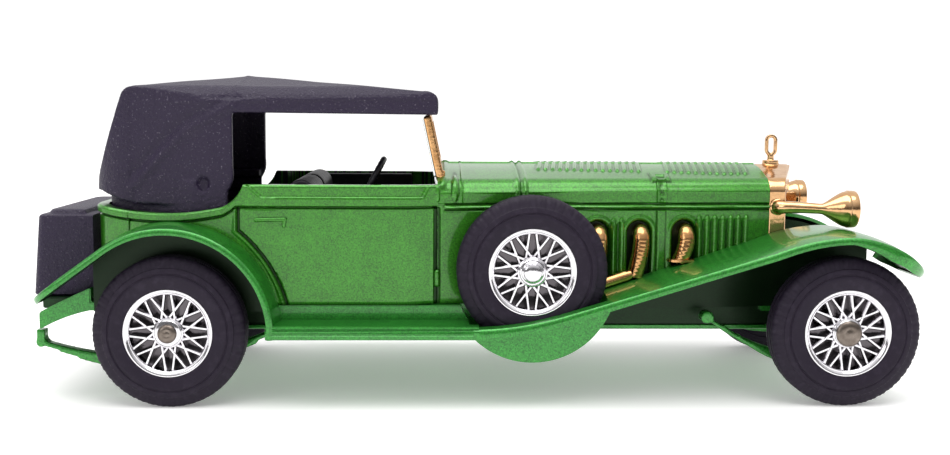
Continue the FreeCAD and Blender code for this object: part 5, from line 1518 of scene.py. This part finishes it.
class TOURER_OT_wheels(bpy.types.Operator):
    """Builds the four road wheels, the two spares, their tyres and the axles"""
    bl_idname = "tourer.wheels"
    bl_label = "Wheels, tyres and axles"

    def execute(self, context):
        for end, x in (("front", X_FRONT), ("rear", X_REAR)):
            for name, side in SIDES:
                label = "%s_%s" % (end, name)
                body = "wheel_" + label
                tyre, wheel = Shell(), Shell()
                tyre_skin(tyre, x, AXLE, WHEEL_FACE, side)
                wheel_skin(wheel, x, AXLE, WHEEL_FACE, side, hub_end=TYRE_INNER - 0.3, bore=0.8)
                place("rubber_" + label, tyre, "tyre_" + label, "rubber", body, WHEEL_SHARP)
                place("plated_wheel_" + label, wheel, body, "chrome", body, WHEEL_SHARP)
        hub_end = float(bonnet_half(X_SPARE)) + 0.35
        for name, side in SIDES:
            tyre, wheel = Shell(), Shell()
            tyre_skin(tyre, X_SPARE, SPARE_HEIGHT, SPARE_FACE, side)
            wheel_skin(wheel, X_SPARE, SPARE_HEIGHT, SPARE_FACE, side, hub_end, bore=0.0)
            boss = [(-0.1, 0), (-0.1, 1.28), (0, 1.2), (0.06, 1.05), (0.12, 1.0), (0.2, 0.96), (0.3, 0.8),
                    (0.37, 0.5), (0.39, 0)]
            wheel.lathe([(side * (SPARE_FACE + a), r) for a, r in boss], (X_SPARE, 0, SPARE_HEIGHT), 1, 64)
            place("spare_rubber_" + name, tyre, "spare_tyre_" + name, "rubber", sharp=WHEEL_SHARP)
            place("spare_plated_wheel_" + name, wheel, "spare_wheel_" + name, "chrome", sharp=WHEEL_SHARP)
        for end, x, head in (("front", X_FRONT, 1.45), ("rear", X_REAR, 1.05)):
            axle = Shell()
            axle_skin(axle, x, AXLE_RADIUS, head)
            body = "%s_axle" % end
            place("steel_" + body, axle, body, "steel", body, WHEEL_SHARP)
        return {"FINISHED"}


class TOURER_OT_stage(bpy.types.Operator):
    """Lays the pale floor, sets the soft lights and places the camera"""
    bl_idname = "tourer.stage"
    bl_label = "Stage, lights and camera"

    def execute(self, context):
        scene = bpy.context.scene
        floor_mesh = bpy.data.meshes.new("pale_floor")
        half = FLOOR_HALF
        floor_mesh.from_pydata([(-half, -half, 0), (half, -half, 0), (half, half, 0), (-half, half, 0)], [],
                               [(0, 1, 2, 3)])
        floor_mesh.materials.append(finish("floor"))
        floor = bpy.data.objects.new("pale_floor", floor_mesh)
        scene.collection.objects.link(floor)

        scene.view_settings.view_transform = "Standard"
        world = bpy.data.worlds.new("bright_studio")
        world.use_nodes = True
        tree = world.node_tree
        way = node(tree, "ShaderNodeTexCoord", {}).outputs["Generated"]
        parts = node(tree, "ShaderNodeSeparateXYZ", {}, {0: way}).outputs
        behind = node(tree, "ShaderNodeMapRange", {"From Min": -0.3, "From Max": 0.2}, {"Value": parts[1]})
        above = node(tree, "ShaderNodeMapRange", {"From Min": 0.2, "From Max": 0.75}, {"Value": parts[2]})
        open_side = node(tree, "ShaderNodeMath", {"operation": "MAXIMUM"},
                         {0: behind.outputs[0], 1: above.outputs[0]})
        strength = node(tree, "ShaderNodeMapRange", {"To Min": DIM_SURROUND, "To Max": BRIGHT_SURROUND},
                        {"Value": open_side.outputs[0]})
        tree.links.new(strength.outputs[0], tree.nodes["Background"].inputs["Strength"])
        tree.nodes["Background"].inputs["Color"].default_value = (1, 1, 1, 1)
        scene.world = world
        for name, spot, size, power in LIGHTS:
            light = bpy.data.lights.new(name, "AREA")
            light.shape = "RECTANGLE"
            light.size, light.size_y = size
            light.energy = power
            lamp = bpy.data.objects.new(name, light)
            scene.collection.objects.link(lamp)
            way = np.array(LIGHT_TARGET) - np.array(spot)
            back = -way / np.linalg.norm(way)
            right = np.cross([0, 0, 1], back)
            right /= np.linalg.norm(right)
            lamp.matrix_world = turned_to(right, np.cross(back, right), back, spot)

        camera = bpy.data.cameras.new("camera")
        camera.lens = 45.0
        camera.sensor_width = 36.0
        camera.clip_start = 0.001
        viewer = bpy.data.objects.new("camera", camera)
        scene.collection.objects.link(viewer)
        yaw, pitch, roll = (math.radians(angle) for angle in CAMERA_TURNS)
        ahead = np.array([math.sin(yaw) * math.cos(pitch), math.cos(yaw) * math.cos(pitch), -math.sin(pitch)])
        right = np.array([math.cos(yaw), -math.sin(yaw), 0.0])
        up = np.cross(right, ahead)
        rolled_right = right * math.cos(roll) + up * math.sin(roll)
        rolled_up = -right * math.sin(roll) + up * math.cos(roll)
        viewer.matrix_world = turned_to(rolled_right, rolled_up, -ahead, CAMERA_PLACE)
        scene.camera = viewer
        return {"FINISHED"}


def turned_to(right, up, back, spot):
    """A placement matrix from three directions and a place."""
    rows = [[right[i], up[i], back[i], spot[i]] for i in range(3)]
    return Matrix(rows + [[0, 0, 0, 1]])


OPERATORS = (TOURER_OT_stage, TOURER_OT_body, TOURER_OT_wings, TOURER_OT_base, TOURER_OT_bright,
             TOURER_OT_cabin, TOURER_OT_hood, TOURER_OT_trunk, TOURER_OT_wheels)


class TOURER_PT_panel(bpy.types.Panel):
    """Lists the car's pieces and settings"""
    bl_idname = "TOURER_PT_panel"
    bl_label = "Diecast tourer"
    bl_space_type = "VIEW_3D"
    bl_region_type = "UI"
    bl_category = "Diecast tourer"

    def draw(self, context):
        for group in (context.scene.tourer_sizes, context.scene.tourer_colours):
            box = self.layout.box()
            for key in group.__annotations__:
                box.prop(group, key)
        for operator in OPERATORS:
            self.layout.operator(operator.bl_idname)


CLASSES = (TourerSizes, TourerColours, *OPERATORS, TOURER_PT_panel)


def register():
    for each in CLASSES:
        bpy.utils.register_class(each)
    bpy.types.Scene.tourer_sizes = bpy.props.PointerProperty(type=TourerSizes)
    bpy.types.Scene.tourer_colours = bpy.props.PointerProperty(type=TourerColours)


def unregister():
    del bpy.types.Scene.tourer_sizes
    del bpy.types.Scene.tourer_colours
    for each in reversed(CLASSES):
        bpy.utils.unregister_class(each)


def main():
    """Builds everything in order."""
    register()
    for operator in OPERATORS:
        group, name = operator.bl_idname.split(".")
        getattr(getattr(bpy.ops, group), name)()


if __name__ == "__main__":
    main()
